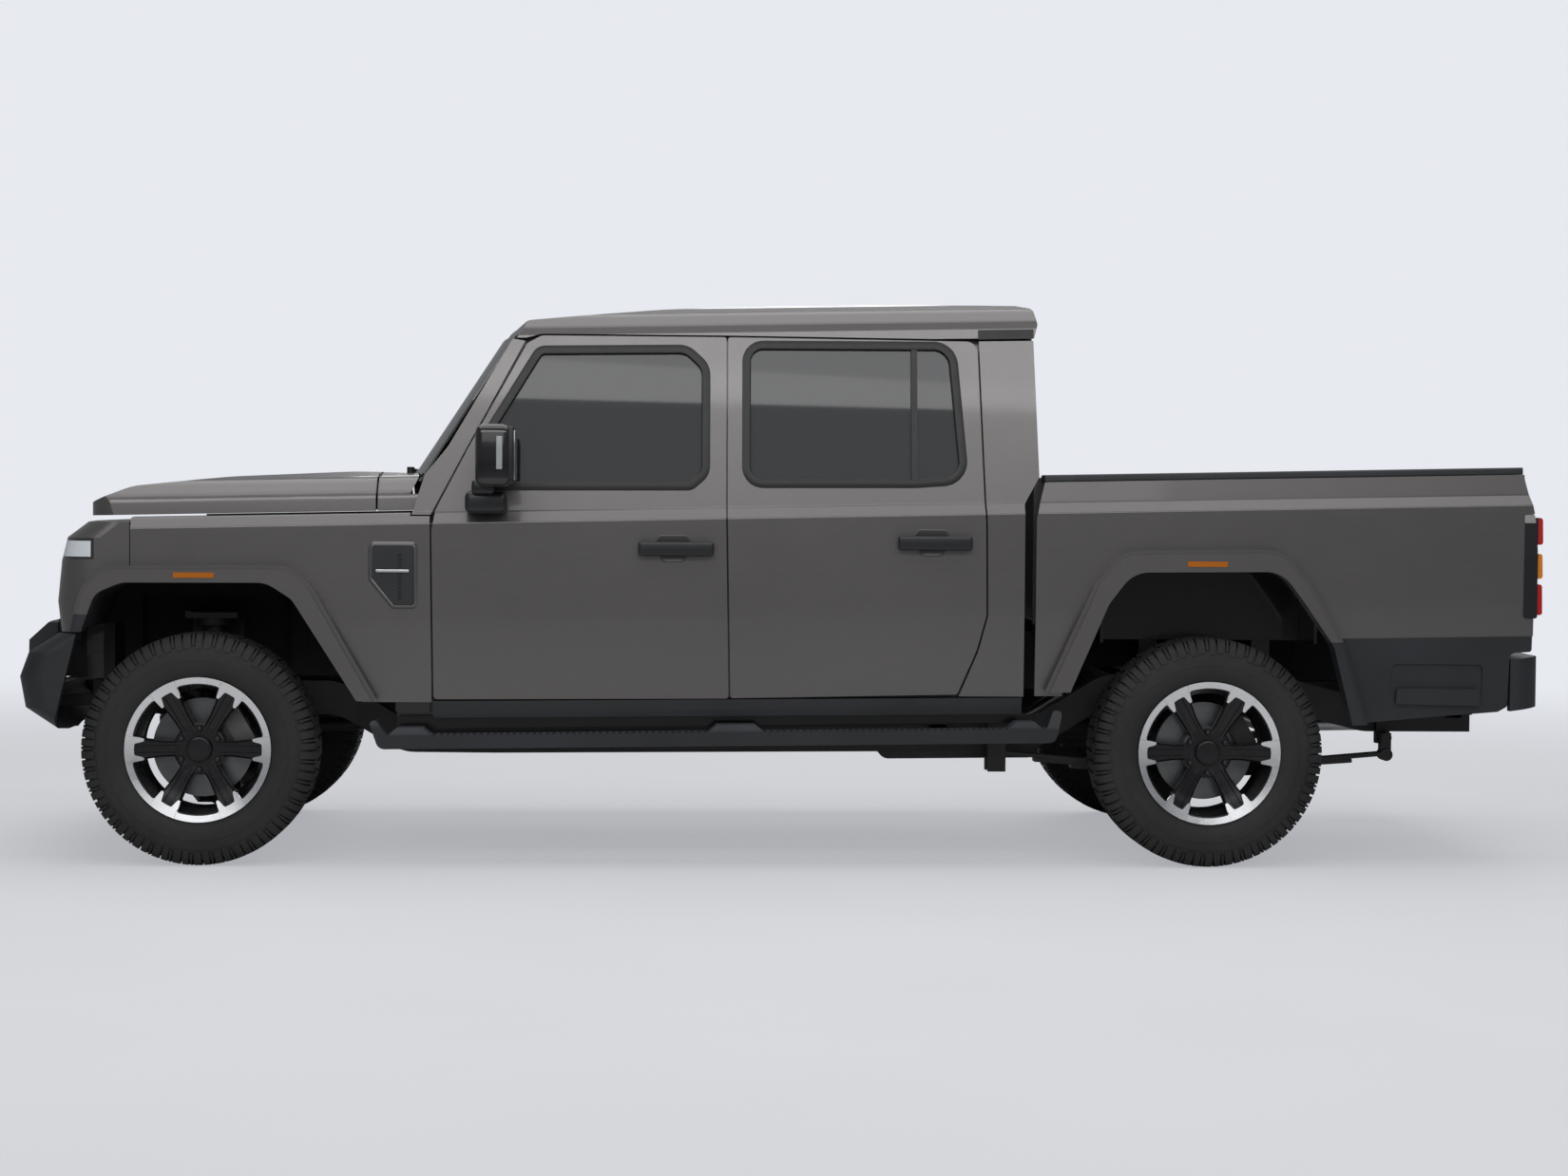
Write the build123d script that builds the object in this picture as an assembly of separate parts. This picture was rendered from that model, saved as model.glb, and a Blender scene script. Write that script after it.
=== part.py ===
from build123d import *
import os
from math import atan2, cos, hypot, pi, radians, sin, sqrt, tan

# A four-door pickup truck, in millimetres. The front faces -X, the left side faces -Y, the ground is z = 0
# and x = 0 is the middle of the overall length. Body lines climb towards the rear by RAKE.

# Overall stance
RAKE = 0.0236
LENGTH = 5316.0
FRONT_AXLE_X = -1980.5
WHEELBASE = 3435.0
REAR_AXLE_X = FRONT_AXLE_X + WHEELBASE

# Wheels and tyres
TYRE_R = 394.0
TYRE_W = 262.0
TREAD_W = 214.0
FLANGE_R = 246.0
SEAT_R = 229.0
BARREL_R = 216.0
RIM_W = 236.0
WHEEL_Y = 788.0
HUB_R = 74.0
SPOKES = 6
SPINDLE_R = 30.0
RUNNING_GAP = 0.3
DISC_R = 168.0
DISC_T = 24.0

# Steering and suspension
KINGPIN_Y = 700.0
BALL_RISE = 140.0
STUD_R = 11.0
ARM_PIVOT_Y = 452.0
ARM_SPREAD = 150.0

# Ladder frame
RAIL_FRONT_Y = (355.0, 425.0)
RAIL_REAR_Y = (430.0, 500.0)
SPRING_Y = 560.0
SPRING_W = 60.0

# Body side section at x = 0: distance out from the centre plane, height
SILL_Y = 870.0
BELT_Y = 893.0
SHOULDER_Y = 868.0
GUTTER_Y = 785.0
SILL_Z = 540.0
BELT_Z = 1191.0
SHOULDER_Z = 1228.0
GUTTER_Z = 1827.0
RAIL_TOP_Z = 1297.0
RAIL_TOP_Y = 859.0
DOOR_T = 56.0
DOOR_SKIN_T = 18.0
PANEL_T = 12.0
DOOR_GAP = 6.0
SEAM = 4.0
FIT = 0.3

# Cab
FLOOR_Z = 560.0
FLOOR_T = 16.0
FIREWALL_X = -1330.0
CAB_REAR_X = 848.0
DOOR_FRONT_X = -1196.0
DOOR_SPLIT_X = -200.0
DOOR_REAR_X = 680.0
HOOD_REAR_X = -1394.0
GLASS_T = 6.0
GLASS_IN = 14.0
WIPER_X = -1338.0

# Bed
BED_FRONT_X = 854.0
BED_REAR_X = 2583.0
BED_FLOOR_Z = 820.0
RIB_H = 7.0
BED_INNER_Y = 748.0
GATE_T = 56.0
GATE_Y = 752.0
GATE_BOTTOM_Z = 800.0
GATE_TOP_Z = 1340.0

# Outer trim
FLARE_Y = 940.0
STEP_Y = 975.0


def rounded(corners, place):
    """Closed wire through corners (a, b, radius), with an arc of that radius at each; place maps (a, b) to space."""
    n = len(corners)
    starts, mids, ends = [], [], []
    for i in range(n):
        a, b, r = (tuple(corners[i]) + (0.0,))[:3]
        pa, pb = corners[i - 1][:2]
        na, nb = corners[(i + 1) % n][:2]
        before, after = hypot(pa - a, pb - b), hypot(na - a, nb - b)
        u = ((pa - a) / before, (pb - b) / before)
        v = ((na - a) / after, (nb - b) / after)
        if r == 0:
            starts.append((a, b))
            mids.append(None)
            ends.append((a, b))
            continue
        half = 0.5 * atan2(abs(u[0] * v[1] - u[1] * v[0]), u[0] * v[0] + u[1] * v[1])
        back = r / tan(half)
        bisector = (u[0] + v[0], u[1] + v[1])
        scale = (r / sin(half) - r) / hypot(*bisector)
        starts.append((a + u[0] * back, b + u[1] * back))
        mids.append((a + bisector[0] * scale, b + bisector[1] * scale))
        ends.append((a + v[0] * back, b + v[1] * back))
    edges = []
    for i in range(n):
        if mids[i]:
            edges.append(Edge.make_three_point_arc(place(*starts[i]), place(*mids[i]), place(*ends[i])))
        following = starts[(i + 1) % n]
        if hypot(following[0] - ends[i][0], following[1] - ends[i][1]) > 1e-6:
            edges.append(Edge.make_line(place(*ends[i]), place(*following)))
    return Wire(edges)


def side_face(corners, y=0.0):
    """Face in a side view: corners (x, z, radius)."""
    return Face(rounded(corners, lambda x, z: Vector(x, y, z)))


def plate(corners, y0, y1):
    """Side-view outline of corners (x, z, radius), from y0 to y1."""
    return Solid.extrude(side_face(corners, y0), Vector(0, y1 - y0, 0))


def bar(corners, x0, x1, slope=RAKE):
    """Cross section of corners (y, z, radius) at x = 0, run from x0 to x1 along the rake."""
    face = Face(rounded(corners, lambda y, z: Vector(x0, y, z + slope * x0)))
    return Solid.extrude(face, Vector(x1 - x0, 0, slope * (x1 - x0)))


def slab(corners, z0, z1):
    """Plan outline of corners (x, y, radius), from z0 to z1."""
    face = Face(rounded(corners, lambda x, y: Vector(x, y, z0)))
    return Solid.extrude(face, Vector(0, 0, z1 - z0))


def block(x0, x1, y0, y1, z0, z1):
    return Pos((x0 + x1) / 2, (y0 + y1) / 2, (z0 + z1) / 2) * Box(x1 - x0, y1 - y0, z1 - z0)


def rod(start, end, radius):
    """Round bar from one point to another."""
    a, b = Vector(*start), Vector(*end)
    return Solid.make_cylinder(radius, (b - a).length, Plane(origin=a, z_dir=b - a))


def across(x, y0, y1, z, radius):
    """Round bar along Y."""
    return rod((x, y0, z), (x, y1, z), radius)


def mirrored(shape):
    """The same piece on the right side."""
    return mirror(shape, about=Plane.XZ)


def both(shape):
    return [*solids_of(shape), *solids_of(mirrored(shape))]


def solids_of(shape):
    if isinstance(shape, (list, tuple)):
        return [solid for item in shape for solid in solids_of(item)]
    return list(shape.solids())


def fused(*shapes):
    """One solid from pieces that overlap or share faces."""
    first, *rest = [solid for shape in shapes for solid in solids_of(shape)]
    return first.fuse(*rest).clean() if rest else first


def climb(x):
    """Height gained along the body's rake."""
    return RAKE * x


# Body side section, from the sill to the gutter: (out, height, radius)
SIDE_LOW = [(SILL_Y - 10, 440, 0), (SILL_Y, SILL_Z, 40), (BELT_Y - 4, 860, 600), (BELT_Y, BELT_Z, 9)]
SIDE_CAB = SIDE_LOW + [(SHOULDER_Y, SHOULDER_Z, 12), (GUTTER_Y, GUTTER_Z, 0), (GUTTER_Y - 8, GUTTER_Z + 60, 0)]
SIDE_BED = SIDE_LOW + [(SHOULDER_Y, SHOULDER_Z, 12), (RAIL_TOP_Y, RAIL_TOP_Z, 0)]


def side_band(section, x0, x1, inner, outer=0.0):
    """Left body side between two depths behind its outer section."""
    out = [(-(y - outer), z, r) for y, z, r in section]
    back = [(-(y - inner), z, r) for y, z, r in reversed(section)]
    return bar(out + back, x0, x1)


def wheel_parts():
    """Tyre and rim about the origin, axle along Y, outer face towards -Y."""
    half, tread = TYRE_W / 2, TREAD_W / 2
    tyre_half = [
        (tread, TYRE_R, 26),
        (half - 4, TYRE_R - 52, 60),
        (half, 318, 60),
        (RIM_W / 2 + 1, FLANGE_R + 9, 6),
        (RIM_W / 2 - 4, FLANGE_R + 1.5, 0),
        (RIM_W / 2 - 14, FLANGE_R + 1.5, 0),
        (RIM_W / 2 - 16.5, SEAT_R + RUNNING_GAP, 0),
    ]
    section = tyre_half + [(-w, r, f) for w, r, f in reversed(tyre_half)]
    tyre_face = Face(rounded(section, lambda w, r: Vector(0, w, r)))
    tyre = revolve(tyre_face, Axis.Y)
    outer, inner = -RIM_W / 2, RIM_W / 2
    rim_section = [
        (outer, FLANGE_R, 3),
        (outer, 224, 0),
        (outer + 26, BARREL_R + 4, 8),
        (outer + 70, BARREL_R - 14, 20),
        (inner - 60, BARREL_R - 14, 20),
        (inner - 16, BARREL_R, 6),
        (inner, 224, 0),
        (inner, FLANGE_R, 3),
        (inner - 12, FLANGE_R, 0),
        (inner - 14, SEAT_R, 0),
        (inner - 50, SEAT_R, 0),
        (inner - 66, SEAT_R - 12, 8),
        (outer + 66, SEAT_R - 12, 8),
        (outer + 50, SEAT_R, 0),
        (outer + 14, SEAT_R, 0),
        (outer + 12, FLANGE_R, 0),
    ]
    barrel = revolve(Face(rounded(rim_section, lambda w, r: Vector(0, w, r))), Axis.Y)
    # Spoke section along its length: (axial depth, radius)
    spoke_side = [(-98, 226, 0), (-62, 226, 0), (-40, 150, 30), (-28, HUB_R - 14, 0), (-74, HUB_R - 14, 0), (-84, 120, 40)]
    spoke_plan = [(-25, HUB_R - 20, 0), (25, HUB_R - 20, 0), (29, 170, 20), (48, 222, 0), (-48, 222, 0), (-29, 170, 20)]
    long_way = Solid.extrude(Face(rounded(spoke_side, lambda w, r: Vector(-60, w, r))), Vector(120, 0, 0))
    wide_way = Solid.extrude(Face(rounded(spoke_plan, lambda x, r: Vector(x, -140, r))), Vector(0, 140, 0))
    spoke = long_way & wide_way
    # Forked pad where the spoke meets the rim: a notch between two prongs
    notch = [(-11, 176, 8), (11, 176, 8), (22, 206, 0), (-22, 206, 0)]
    spoke = spoke - Solid.extrude(Face(rounded(notch, lambda x, r: Vector(x, -140, r))), Vector(0, 56, 0))
    spokes = [spoke.rotate(Axis.Y, i * 360 / SPOKES) for i in range(SPOKES)]
    hub = across(0, -76, -16, 0, HUB_R)
    boss = across(0, -92, -70, 0, 38)
    rim = fused(barrel, hub, boss, *spokes)
    rim = rim - across(0, -60, 0, 0, SPINDLE_R + RUNNING_GAP)
    rim = rim - [across(52 * cos(a), -90, -60, 52 * sin(a), 9) for a in [radians(60 * k + 30) for k in range(6)]]
    disc = across(0, -16, 0, 0, 62) + across(0, -4, DISC_T - 4, 0, DISC_R)
    disc = disc - across(0, -30, 40, 0, SPINDLE_R + RUNNING_GAP)
    return tyre, rim, disc


def knuckle():
    """Front upright with its spindle, ball lugs and brake caliper, on the left."""
    axle_z = TYRE_R
    disc_in = WHEEL_Y - DISC_T + 4
    carrier = across(FRONT_AXLE_X, -disc_in + RUNNING_GAP, -KINGPIN_Y - 4, axle_z, 58)
    spindle = across(FRONT_AXLE_X, -WHEEL_Y - 58, -disc_in + 2, axle_z, SPINDLE_R)
    post = block(FRONT_AXLE_X - 30, FRONT_AXLE_X + 30, -KINGPIN_Y - 30, -KINGPIN_Y - 2,
                 axle_z - BALL_RISE + 12, axle_z + BALL_RISE - 12)
    lugs = [
        rod((FRONT_AXLE_X, -KINGPIN_Y, axle_z + way * BALL_RISE - 14),
            (FRONT_AXLE_X, -KINGPIN_Y, axle_z + way * BALL_RISE + 14), 26)
        for way in (-1, 1)
    ]
    arm = block(FRONT_AXLE_X + 20, FRONT_AXLE_X + 140, -KINGPIN_Y - 22, -KINGPIN_Y - 2, axle_z - 60, axle_z - 30)
    solid = fused(carrier, spindle, post, *lugs, arm, caliper(FRONT_AXLE_X, KINGPIN_Y + 30))
    studs = [
        rod((FRONT_AXLE_X, -KINGPIN_Y, axle_z + way * BALL_RISE - 40),
            (FRONT_AXLE_X, -KINGPIN_Y, axle_z + way * BALL_RISE + 40), STUD_R + RUNNING_GAP)
        for way in (-1, 1)
    ]
    return solid - studs


def caliper(axle_x, bracket_y):
    """Brake caliper astride the disc, up and behind the axle, with its bracket from bracket_y out."""
    middle = WHEEL_Y - DISC_T / 2 + 4
    ring = [(axle_x + r * cos(radians(a)), TYRE_R + r * sin(radians(a))) for r, a in
            [(118, 8), (188, 8), (188, 52), (118, 52)]]
    body = plate([(x, z, 10) for x, z in ring], -middle - 34, -middle + 34)
    slot = across(axle_x, -middle - DISC_T / 2 - 6, -middle + DISC_T / 2 + 6, TYRE_R, DISC_R + 7)
    link = plate([(axle_x + 20, TYRE_R, 0), (axle_x + 150, TYRE_R + 60, 0), (axle_x + 100, TYRE_R + 120, 0),
                  (axle_x, TYRE_R + 50, 0)], -middle + 26, -bracket_y + 8)
    return fused(body - slot, link)


def front_suspension():
    """Left control arms with ball studs, and the coil-over."""
    axle_z = TYRE_R
    x = FRONT_AXLE_X
    parts = []
    for way, pivot_z, thick, above, droop in [(-1, 292, 34, 36, 17), (1, 590, 26, 30, 0)]:
        spread = ARM_SPREAD
        ball_z = axle_z + way * (BALL_RISE + above)
        tip_z = ball_z - droop
        outline = [(x - spread, -ARM_PIVOT_Y, 0), (x - spread + 50, -ARM_PIVOT_Y, 0), (x - 14, -KINGPIN_Y + 70, 12),
                   (x + 14, -KINGPIN_Y + 70, 12), (x + spread - 50, -ARM_PIVOT_Y, 0), (x + spread, -ARM_PIVOT_Y, 0),
                   (x + 30, -KINGPIN_Y, 0), (x - 30, -KINGPIN_Y, 0)]
        arm = slab(outline, min(tip_z, pivot_z) - 40, max(tip_z, pivot_z) + 40)
        slope = [(-ARM_PIVOT_Y + 2, pivot_z - thick / 2, 0), (-ARM_PIVOT_Y + 2, pivot_z + thick / 2, 0),
                 (-KINGPIN_Y - 40, tip_z + thick / 2, 0), (-KINGPIN_Y - 40, tip_z - thick / 2, 0)]
        arm = arm & bar(slope, x - 200, x + 200, 0)
        stud = rod((x, -KINGPIN_Y, ball_z), (x, -KINGPIN_Y, axle_z + way * (BALL_RISE - 10)), STUD_R)
        cup = rod((x, -KINGPIN_Y, ball_z - 13), (x, -KINGPIN_Y, ball_z + 13), 27)
        bush = rod((x - spread - 12, -ARM_PIVOT_Y + 2, pivot_z), (x + spread + 12, -ARM_PIVOT_Y + 2, pivot_z), 22)
        parts.append(fused(arm, stud, cup, bush))
    lower, upper = parts
    foot, head = (x + 56, -548, 262), (x, -528, 810)

    def along(z):
        share = (z - foot[2]) / (head[2] - foot[2])
        return tuple(f + (h - f) * share for f, h in zip(foot, head))

    strut = fused(
        rod(foot, along(500), 20),
        rod(along(440), head, 40),
        rod(along(430), along(444), 54),
        rod((x, -528, 800), (x, -528, 826), 62),
        block(x + 10, x + 100, -590, -510, 236, 268),
    )
    return fused(lower, strut), upper


def frame():
    """Ladder frame: two rails that kick up over the axles, crossmembers, spring hangers and body mounts."""
    top_line = [(-2420, 600, 0), (-1560, 600, 160), (-1330, 470, 160), (900, 486, 160), (1150, 640, 160),
                (1760, 640, 200), (2080, 560, 200), (2470, 560, 0)]
    depth = 120
    under = [(x, z - depth, r) for x, z, r in reversed(top_line)]
    side = plate(top_line + under, -600, 0)
    (fi, fo), (ri, ro) = RAIL_FRONT_Y, RAIL_REAR_Y
    plan = [(-2500, -fi, 0), (-1500, -fi, 60), (-1000, -ri, 60), (2500, -ri, 0), (2500, -ro, 0), (-1000, -ro, 60),
            (-1500, -fo, 60), (-2500, -fo, 0)]
    rail = side & slab(plan, 0, 900)
    # Crossmembers: x, half width in y, z, height, length in x
    members = [(-2360, fi + 20, 540, 90, 60), (-2140, fi + 10, 515, 50, 70), (-1720, fi + 10, 515, 50, 90),
               (-700, ri + 10, 400, 60, 120), (300, ri + 10, 388, 40, 90), (1240, ri + 10, 600, 60, 70),
               (1720, ri + 10, 590, 60, 70), (2300, ri + 10, 500, 70, 70)]
    beams = [block(x - length / 2, x + length / 2, -y, y, z - height / 2, z + height / 2)
             for x, y, z, height, length in members]
    # Arm pivot brackets on the front rails: x offset, z
    brackets = []
    for reach, low, high in [(ARM_SPREAD + 13, 270, 500), (ARM_SPREAD + 13, 560, 612)]:
        for way in (-1, 1):
            at = FRONT_AXLE_X + way * (reach + 9)
            brackets.append(block(at - 8, at + 8, -ARM_PIVOT_Y - 20, -fi - 5, low, high))
    # Coil-over tower on each front rail
    tower = fused(
        block(FRONT_AXLE_X - 90, FRONT_AXLE_X - 70, -600, -fi - 5, 826, 850),
        block(FRONT_AXLE_X - 90, FRONT_AXLE_X + 90, -600, -fi - 40, 826, 846),
        block(FRONT_AXLE_X - 90, FRONT_AXLE_X + 90, -fo + 0, -fi - 30, 590, 846),
    )
    hangers = [
        block(760 - 32, 760 + 32, -SPRING_Y - 34, -SPRING_Y - 31.4, 300, 480),
        block(760 - 32, 760 + 32, -SPRING_Y + 31.4, -ro + 10, 300, 480),
        block(2150 - 24, 2150 + 24, -SPRING_Y + 31.4, -ro + 10, 400, 520),
    ]
    hangers[0] = fused(block(728, 792, -SPRING_Y - 40, -ro + 10, 400, 440), hangers[0])
    mounts = [rod((x, -(ri if x > -1000 else fi) - 35, 440), (x, -(ri if x > -1000 else fi) - 35, FLOOR_Z - FLOOR_T + climb(x) - 1), 34)
              for x in (-1200, -250, 720)]
    left = fused(rail, *brackets, tower, *hangers, *mounts)
    return fused(left, mirrored(left), *beams)


def engine():
    block_main = block(-2120, -1500, -230, 230, 560, 1080)
    return fused(block_main, block(-2060, -1560, -160, 160, 540 + FIT, 562))


def driveline():
    """Gearbox, transfer case, shafts, front differential with its half shafts, and the rear propeller shaft."""
    axle = FRONT_AXLE_X
    gearbox = bar([(-150, 420, 60), (150, 420, 60), (120, 640, 60), (-120, 640, 60)], -1500, -980, 0)
    tail = bar([(-95, 430, 30), (95, 430, 30), (95, 590, 40), (-95, 590, 40)], -980, -560, 0)
    mount = block(-740, -660, -60, 60, 430.5, 445)
    transfer = block(-820, -640, -260, -60, 436, 512)
    front_shaft = rod((-1860, -118, 408), (-800, -190, 470), 24)
    rear_shaft = rod((-580, 0, 500), (REAR_AXLE_X - 231.5, 0, TYRE_R + 12), 38)
    diff = fused(across(axle, -150, 90, TYRE_R + 6, 88), rod((axle, -110, 400), (axle + 150, -118, 410), 46))
    half = 640
    shafts = [across(axle, -half, -140, TYRE_R, 18), across(axle, 80, half, TYRE_R, 18)]
    boots = [across(axle, -half, -half + 46, TYRE_R, 40), across(axle, half - 46, half, TYRE_R, 40)]
    carrier = block(axle - 150, axle - 60, -70, 40, 400, 489.5)
    return [fused(gearbox, tail, transfer, mount), fused(diff, *shafts, *boots, carrier, front_shaft), rear_shaft]


def rear_axle():
    """Beam axle with its differential, springs' seats, spindles, calipers and dampers."""
    x, z = REAR_AXLE_X, TYRE_R
    disc_in = WHEEL_Y - DISC_T + 4
    tube = across(x, -700, 700, z, 44)
    housing = revolve(Face(rounded([(-150, 0, 0), (-150, 60, 20), (-70, 140, 60), (70, 140, 60), (150, 60, 20), (150, 0, 0)],
                                   lambda y, r: Vector(x, y, z + r))), Axis((x, 0, z), (0, 1, 0)))
    nose = rod((x - 60, 0, z), (x - 230, 0, z + 12), 62)
    side = []
    flange = across(x, -disc_in + RUNNING_GAP, -660, z, 58)
    spindle = across(x, -WHEEL_Y - 58, -disc_in + 2, z, SPINDLE_R)
    seat = block(x - 70, x + 70, -SPRING_Y - 34, -SPRING_Y + 34, z - 54, z - 20)
    side.append(fused(flange, spindle, seat, caliper(x, 690)))
    left = fused(*side)
    return fused(tube, housing, nose, left, mirrored(left))


def leaf_spring():
    """Left leaf pack under the axle, with its eyes, clamp plate and rear shackle."""
    y0, y1 = -SPRING_Y - SPRING_W / 2, -SPRING_Y + SPRING_W / 2
    seat = TYRE_R - 54 - FIT
    # Leaves: half length forward, half length back, thickness, depth below the seat
    leaves = [(690, 690, 13, 0), (560, 570, 13, 13), (430, 440, 13, 26), (300, 300, 13, 39)]
    layers = []
    for ahead, behind, thick, down in leaves:
        points = []
        for share in (-1, -0.6, -0.12, 0.12, 0.6, 1):
            reach = ahead if share < 0 else behind
            rise = 34 * (max(abs(share) * reach - 80, 0) / 610) ** 2
            points.append((REAR_AXLE_X + share * reach, seat - down + rise))
        under = [(px, pz - thick) for px, pz in reversed(points)]
        layers.append(plate([(px, pz, 0) for px, pz in points + under], y0, y1))
    eyes = [across(REAR_AXLE_X + way * 694, y0, y1, seat + 24, 22) for way in (-1, 1)]
    shackle = block(REAR_AXLE_X + 694 - 18, REAR_AXLE_X + 694 + 18, y0 + 8, y1 - 8, seat + 24, 440)
    cap = across(REAR_AXLE_X + 694, y0 + 2, y1 + 1.4, 424, 18)
    clamp = block(REAR_AXLE_X - 80, REAR_AXLE_X + 80, y0 - 6, y1 + 6, seat - 66, seat - 51)
    return fused(*layers, *eyes, shackle, cap, clamp)


def exhaust():
    """Pipe from the engine along the right rail to a silencer and out behind the wheel."""
    radius = 26
    y = 300
    pipe = [(-1700, 262, 600), (-1480, y, 420), (-1150, y, 334), (-200, y, 330), (820, y, 330), (1100, y, 505),
            (1560, y, 516), (1900, y + 30, 398), (2420, 560, 388)]
    runs = [rod(a, b, radius) for a, b in zip(pipe, pipe[1:])]
    knees = [Pos(*p) * Sphere(radius) for p in pipe[1:-1]]
    flange = block(-1745, -1655, 230 + FIT, 264, 556, 650)
    silencer = bar([(y - 100, 300, 50), (y + 100, 300, 50), (y + 100, 414, 50), (y - 100, 414, 50)], -560, 200, 0)
    return fused(*runs, *knees, flange, silencer)


def fuel_tank():
    outline = [(352, 330, 40), (930, 336, 40), (930, 480, 40), (352, 474, 40)]
    return plate(outline, -RAIL_REAR_Y[0], -90)


PARTS = {}


def keep(name, *shapes):
    """Store the solids of one node."""
    PARTS[name] = [solid for shape in shapes for solid in solids_of(shape)]


def grown(corners, d):
    """Outline with every side moved out by d, or in where d is negative."""
    n = len(corners)
    area = sum(corners[i - 1][0] * corners[i][1] - corners[i][0] * corners[i - 1][1] for i in range(n))
    turn = 1 if area > 0 else -1
    result = []
    for i in range(n):
        (pa, pb), (a, b, r), (na, nb) = corners[i - 1][:2], corners[i], corners[(i + 1) % n][:2]
        before, after = hypot(a - pa, b - pb), hypot(na - a, nb - b)
        u = ((a - pa) / before, (b - pb) / before)
        v = ((na - a) / after, (nb - b) / after)
        cross, dot = u[0] * v[1] - u[1] * v[0], u[0] * v[0] + u[1] * v[1]
        normal = ((u[1] + v[1]) * turn, -(u[0] + v[0]) * turn)
        result.append((a + normal[0] * d / (1 + dot), b + normal[1] * d / (1 + dot),
                       max(r + (d if cross * turn > 0 else -d), 0.0) if r else 0.0))
    return result


# Side-view outlines: (x, height, radius)
FRONT_DOOR = [(-1193, 566, 14), (-1201, 1134, 60), (-1190, 1207, 60), (-1081, 1420, 200), (-884, 1780, 40),
              (-836, 1806, 40), (-206, 1806, 8), (-206, 1189, 0), (-193, 573, 10)]
REAR_DOOR = [(-187, 574, 10), (-200, 1189, 0), (-200, 1806, 8), (655, 1799, 40), (681, 1151, 300), (685, 862, 80),
             (653, 741, 200), (588, 590, 14)]
FRONT_WINDOW = [(-1030, 1299, 20), (-1035, 1424, 60), (-838, 1748, 26), (-345, 1756, 60), (-284, 1700, 60),
                (-284, 1344, 46), (-330, 1304, 20)]
REAR_WINDOW = [(-128, 1314, 48), (-128, 1772, 48), (560, 1775, 60), (600, 1330, 60), (440, 1318, 400)]
CAB_QUARTER = [(661, 1800, 0), (687, 1151, 300), (691, 860, 80), (659, 738, 200), (594, 584, 0), (816, 584, 0),
               (814, 1242, 30), (866, 1336, 20), (849, 1804, 0)]
PILLAR = [(-1270, 1192, 0), (-1226, 1330, 0), (-1152, 1420, 300), (-935, 1794, 0), (-892, 1787, 0), (-1087, 1420, 200),
          (-1196, 1212, 30), (-1205, 1192, 0)]
FRONT_ARCH = [(-2364, 300, 0), (-2362, 800, 0), (-2318, 922, 70), (-2230, 958, 90), (-1750, 960, 100),
              (-1664, 905, 70), (-1447, 563, 0), (-1447, 300, 0)]
FRONT_FLARE = [(-2404, 300, 0), (-2402, 800, 0), (-2374, 930, 80), (-2296, 1013, 110), (-1682, 1018, 120),
               (-1600, 950, 90), (-1379, 563, 0), (-1379, 300, 0)]
REAR_ARCH = [(962, 300, 0), (962, 589, 0), (1098, 905, 60), (1180, 1013, 110), (1690, 1018, 110), (1775, 905, 80),
             (1872, 764, 80), (1941, 489, 0), (1941, 300, 0)]
REAR_FLARE = [(882, 300, 0), (882, 600, 0), (1050, 968, 80), (1150, 1086, 130), (1690, 1094, 130), (1790, 985, 80),
              (1908, 783, 120), (1996, 495, 0), (1996, 300, 0)]
LAMP_BACK = [(2540, 862, 10), (2540, 1222, 10), (2620, 1222, 0), (2620, 862, 0)]


def nose(levels, width, corner_r, inset=0.0, back=-2212.0):
    """Bowed front piece: levels of (height, foremost x), each a plan outline, joined straight from one to the next."""
    w = width - inset
    wires = []
    for z, front in levels:
        f = front + inset
        plan = [(back, -w, 0), (f + 75, -w, max(corner_r - inset, 8)), (f, -300, 900), (f, 300, 900),
                (f + 75, w, max(corner_r - inset, 8)), (back, w, 0)]
        wires.append(rounded(plan, lambda x, y: Vector(x, y, z)))
    return Solid.make_loft(wires, ruled=True)


FASCIA_LEVELS = [(787, -2519), (890, -2531), (1028, -2518), (1106, -2499), (1160, -2428)]
BUMPER_LEVELS = [(446, -2500), (533, -2631), (637, -2650), (720, -2620), (783, -2520)]


def cab_interior_bar(depth):
    """Whole cross section of the cab inside a depth behind its sides."""
    left = [(-(y - depth), z, r) for y, z, r in SIDE_CAB]
    right = [(y - depth, z, r) for y, z, r in reversed(SIDE_CAB)]
    return bar(left + right, -1400, 900)


ROOF_OUTER = [(-789, 1795, 0), (-GUTTER_Y, GUTTER_Z, 0), (-775, 1856, 25), (-735, 1895, 60), (-620, 1925, 300),
              (0, 1946, 8000)]
ROOF_INNER = [(-758, 1795, 0), (-752, 1842, 0), (-690, 1842, 0), (-668, 1884, 30), (-610, 1898, 200), (0, 1918, 8000)]


ROOF_UNDER = [(-1100, 1700, 0), (-1100, 1790, 0), (-930, 1806, 0), (-874, 1833, 60), (-400, 1882, 2500),
              (250, 1909, 4000), (900, 1903, 0), (900, 1700, 0)]


def whole_section(half):
    """Both sides of a section given from the left side's foot up to the centre."""
    return half + [(-y, z, r) for y, z, r in reversed(half[:-1])]


def cab_hollow(depth):
    """Cross section of the cab inside its sides and roof, as a bar."""
    left = [(-(y - depth), z, r) for y, z, r in SIDE_CAB[:-2]]
    shelf = [(-(GUTTER_Y - depth) + 0.4, 1842 - FIT, 0), (-689.4, 1842 - FIT, 0)]
    roof = [(y + FIT, z - FIT, r) for y, z, r in ROOF_INNER[3:-1]] + [(0, ROOF_INNER[-1][1] - FIT, 8000)]
    return bar(whole_section(left + shelf + roof), -1400, 900)


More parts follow.
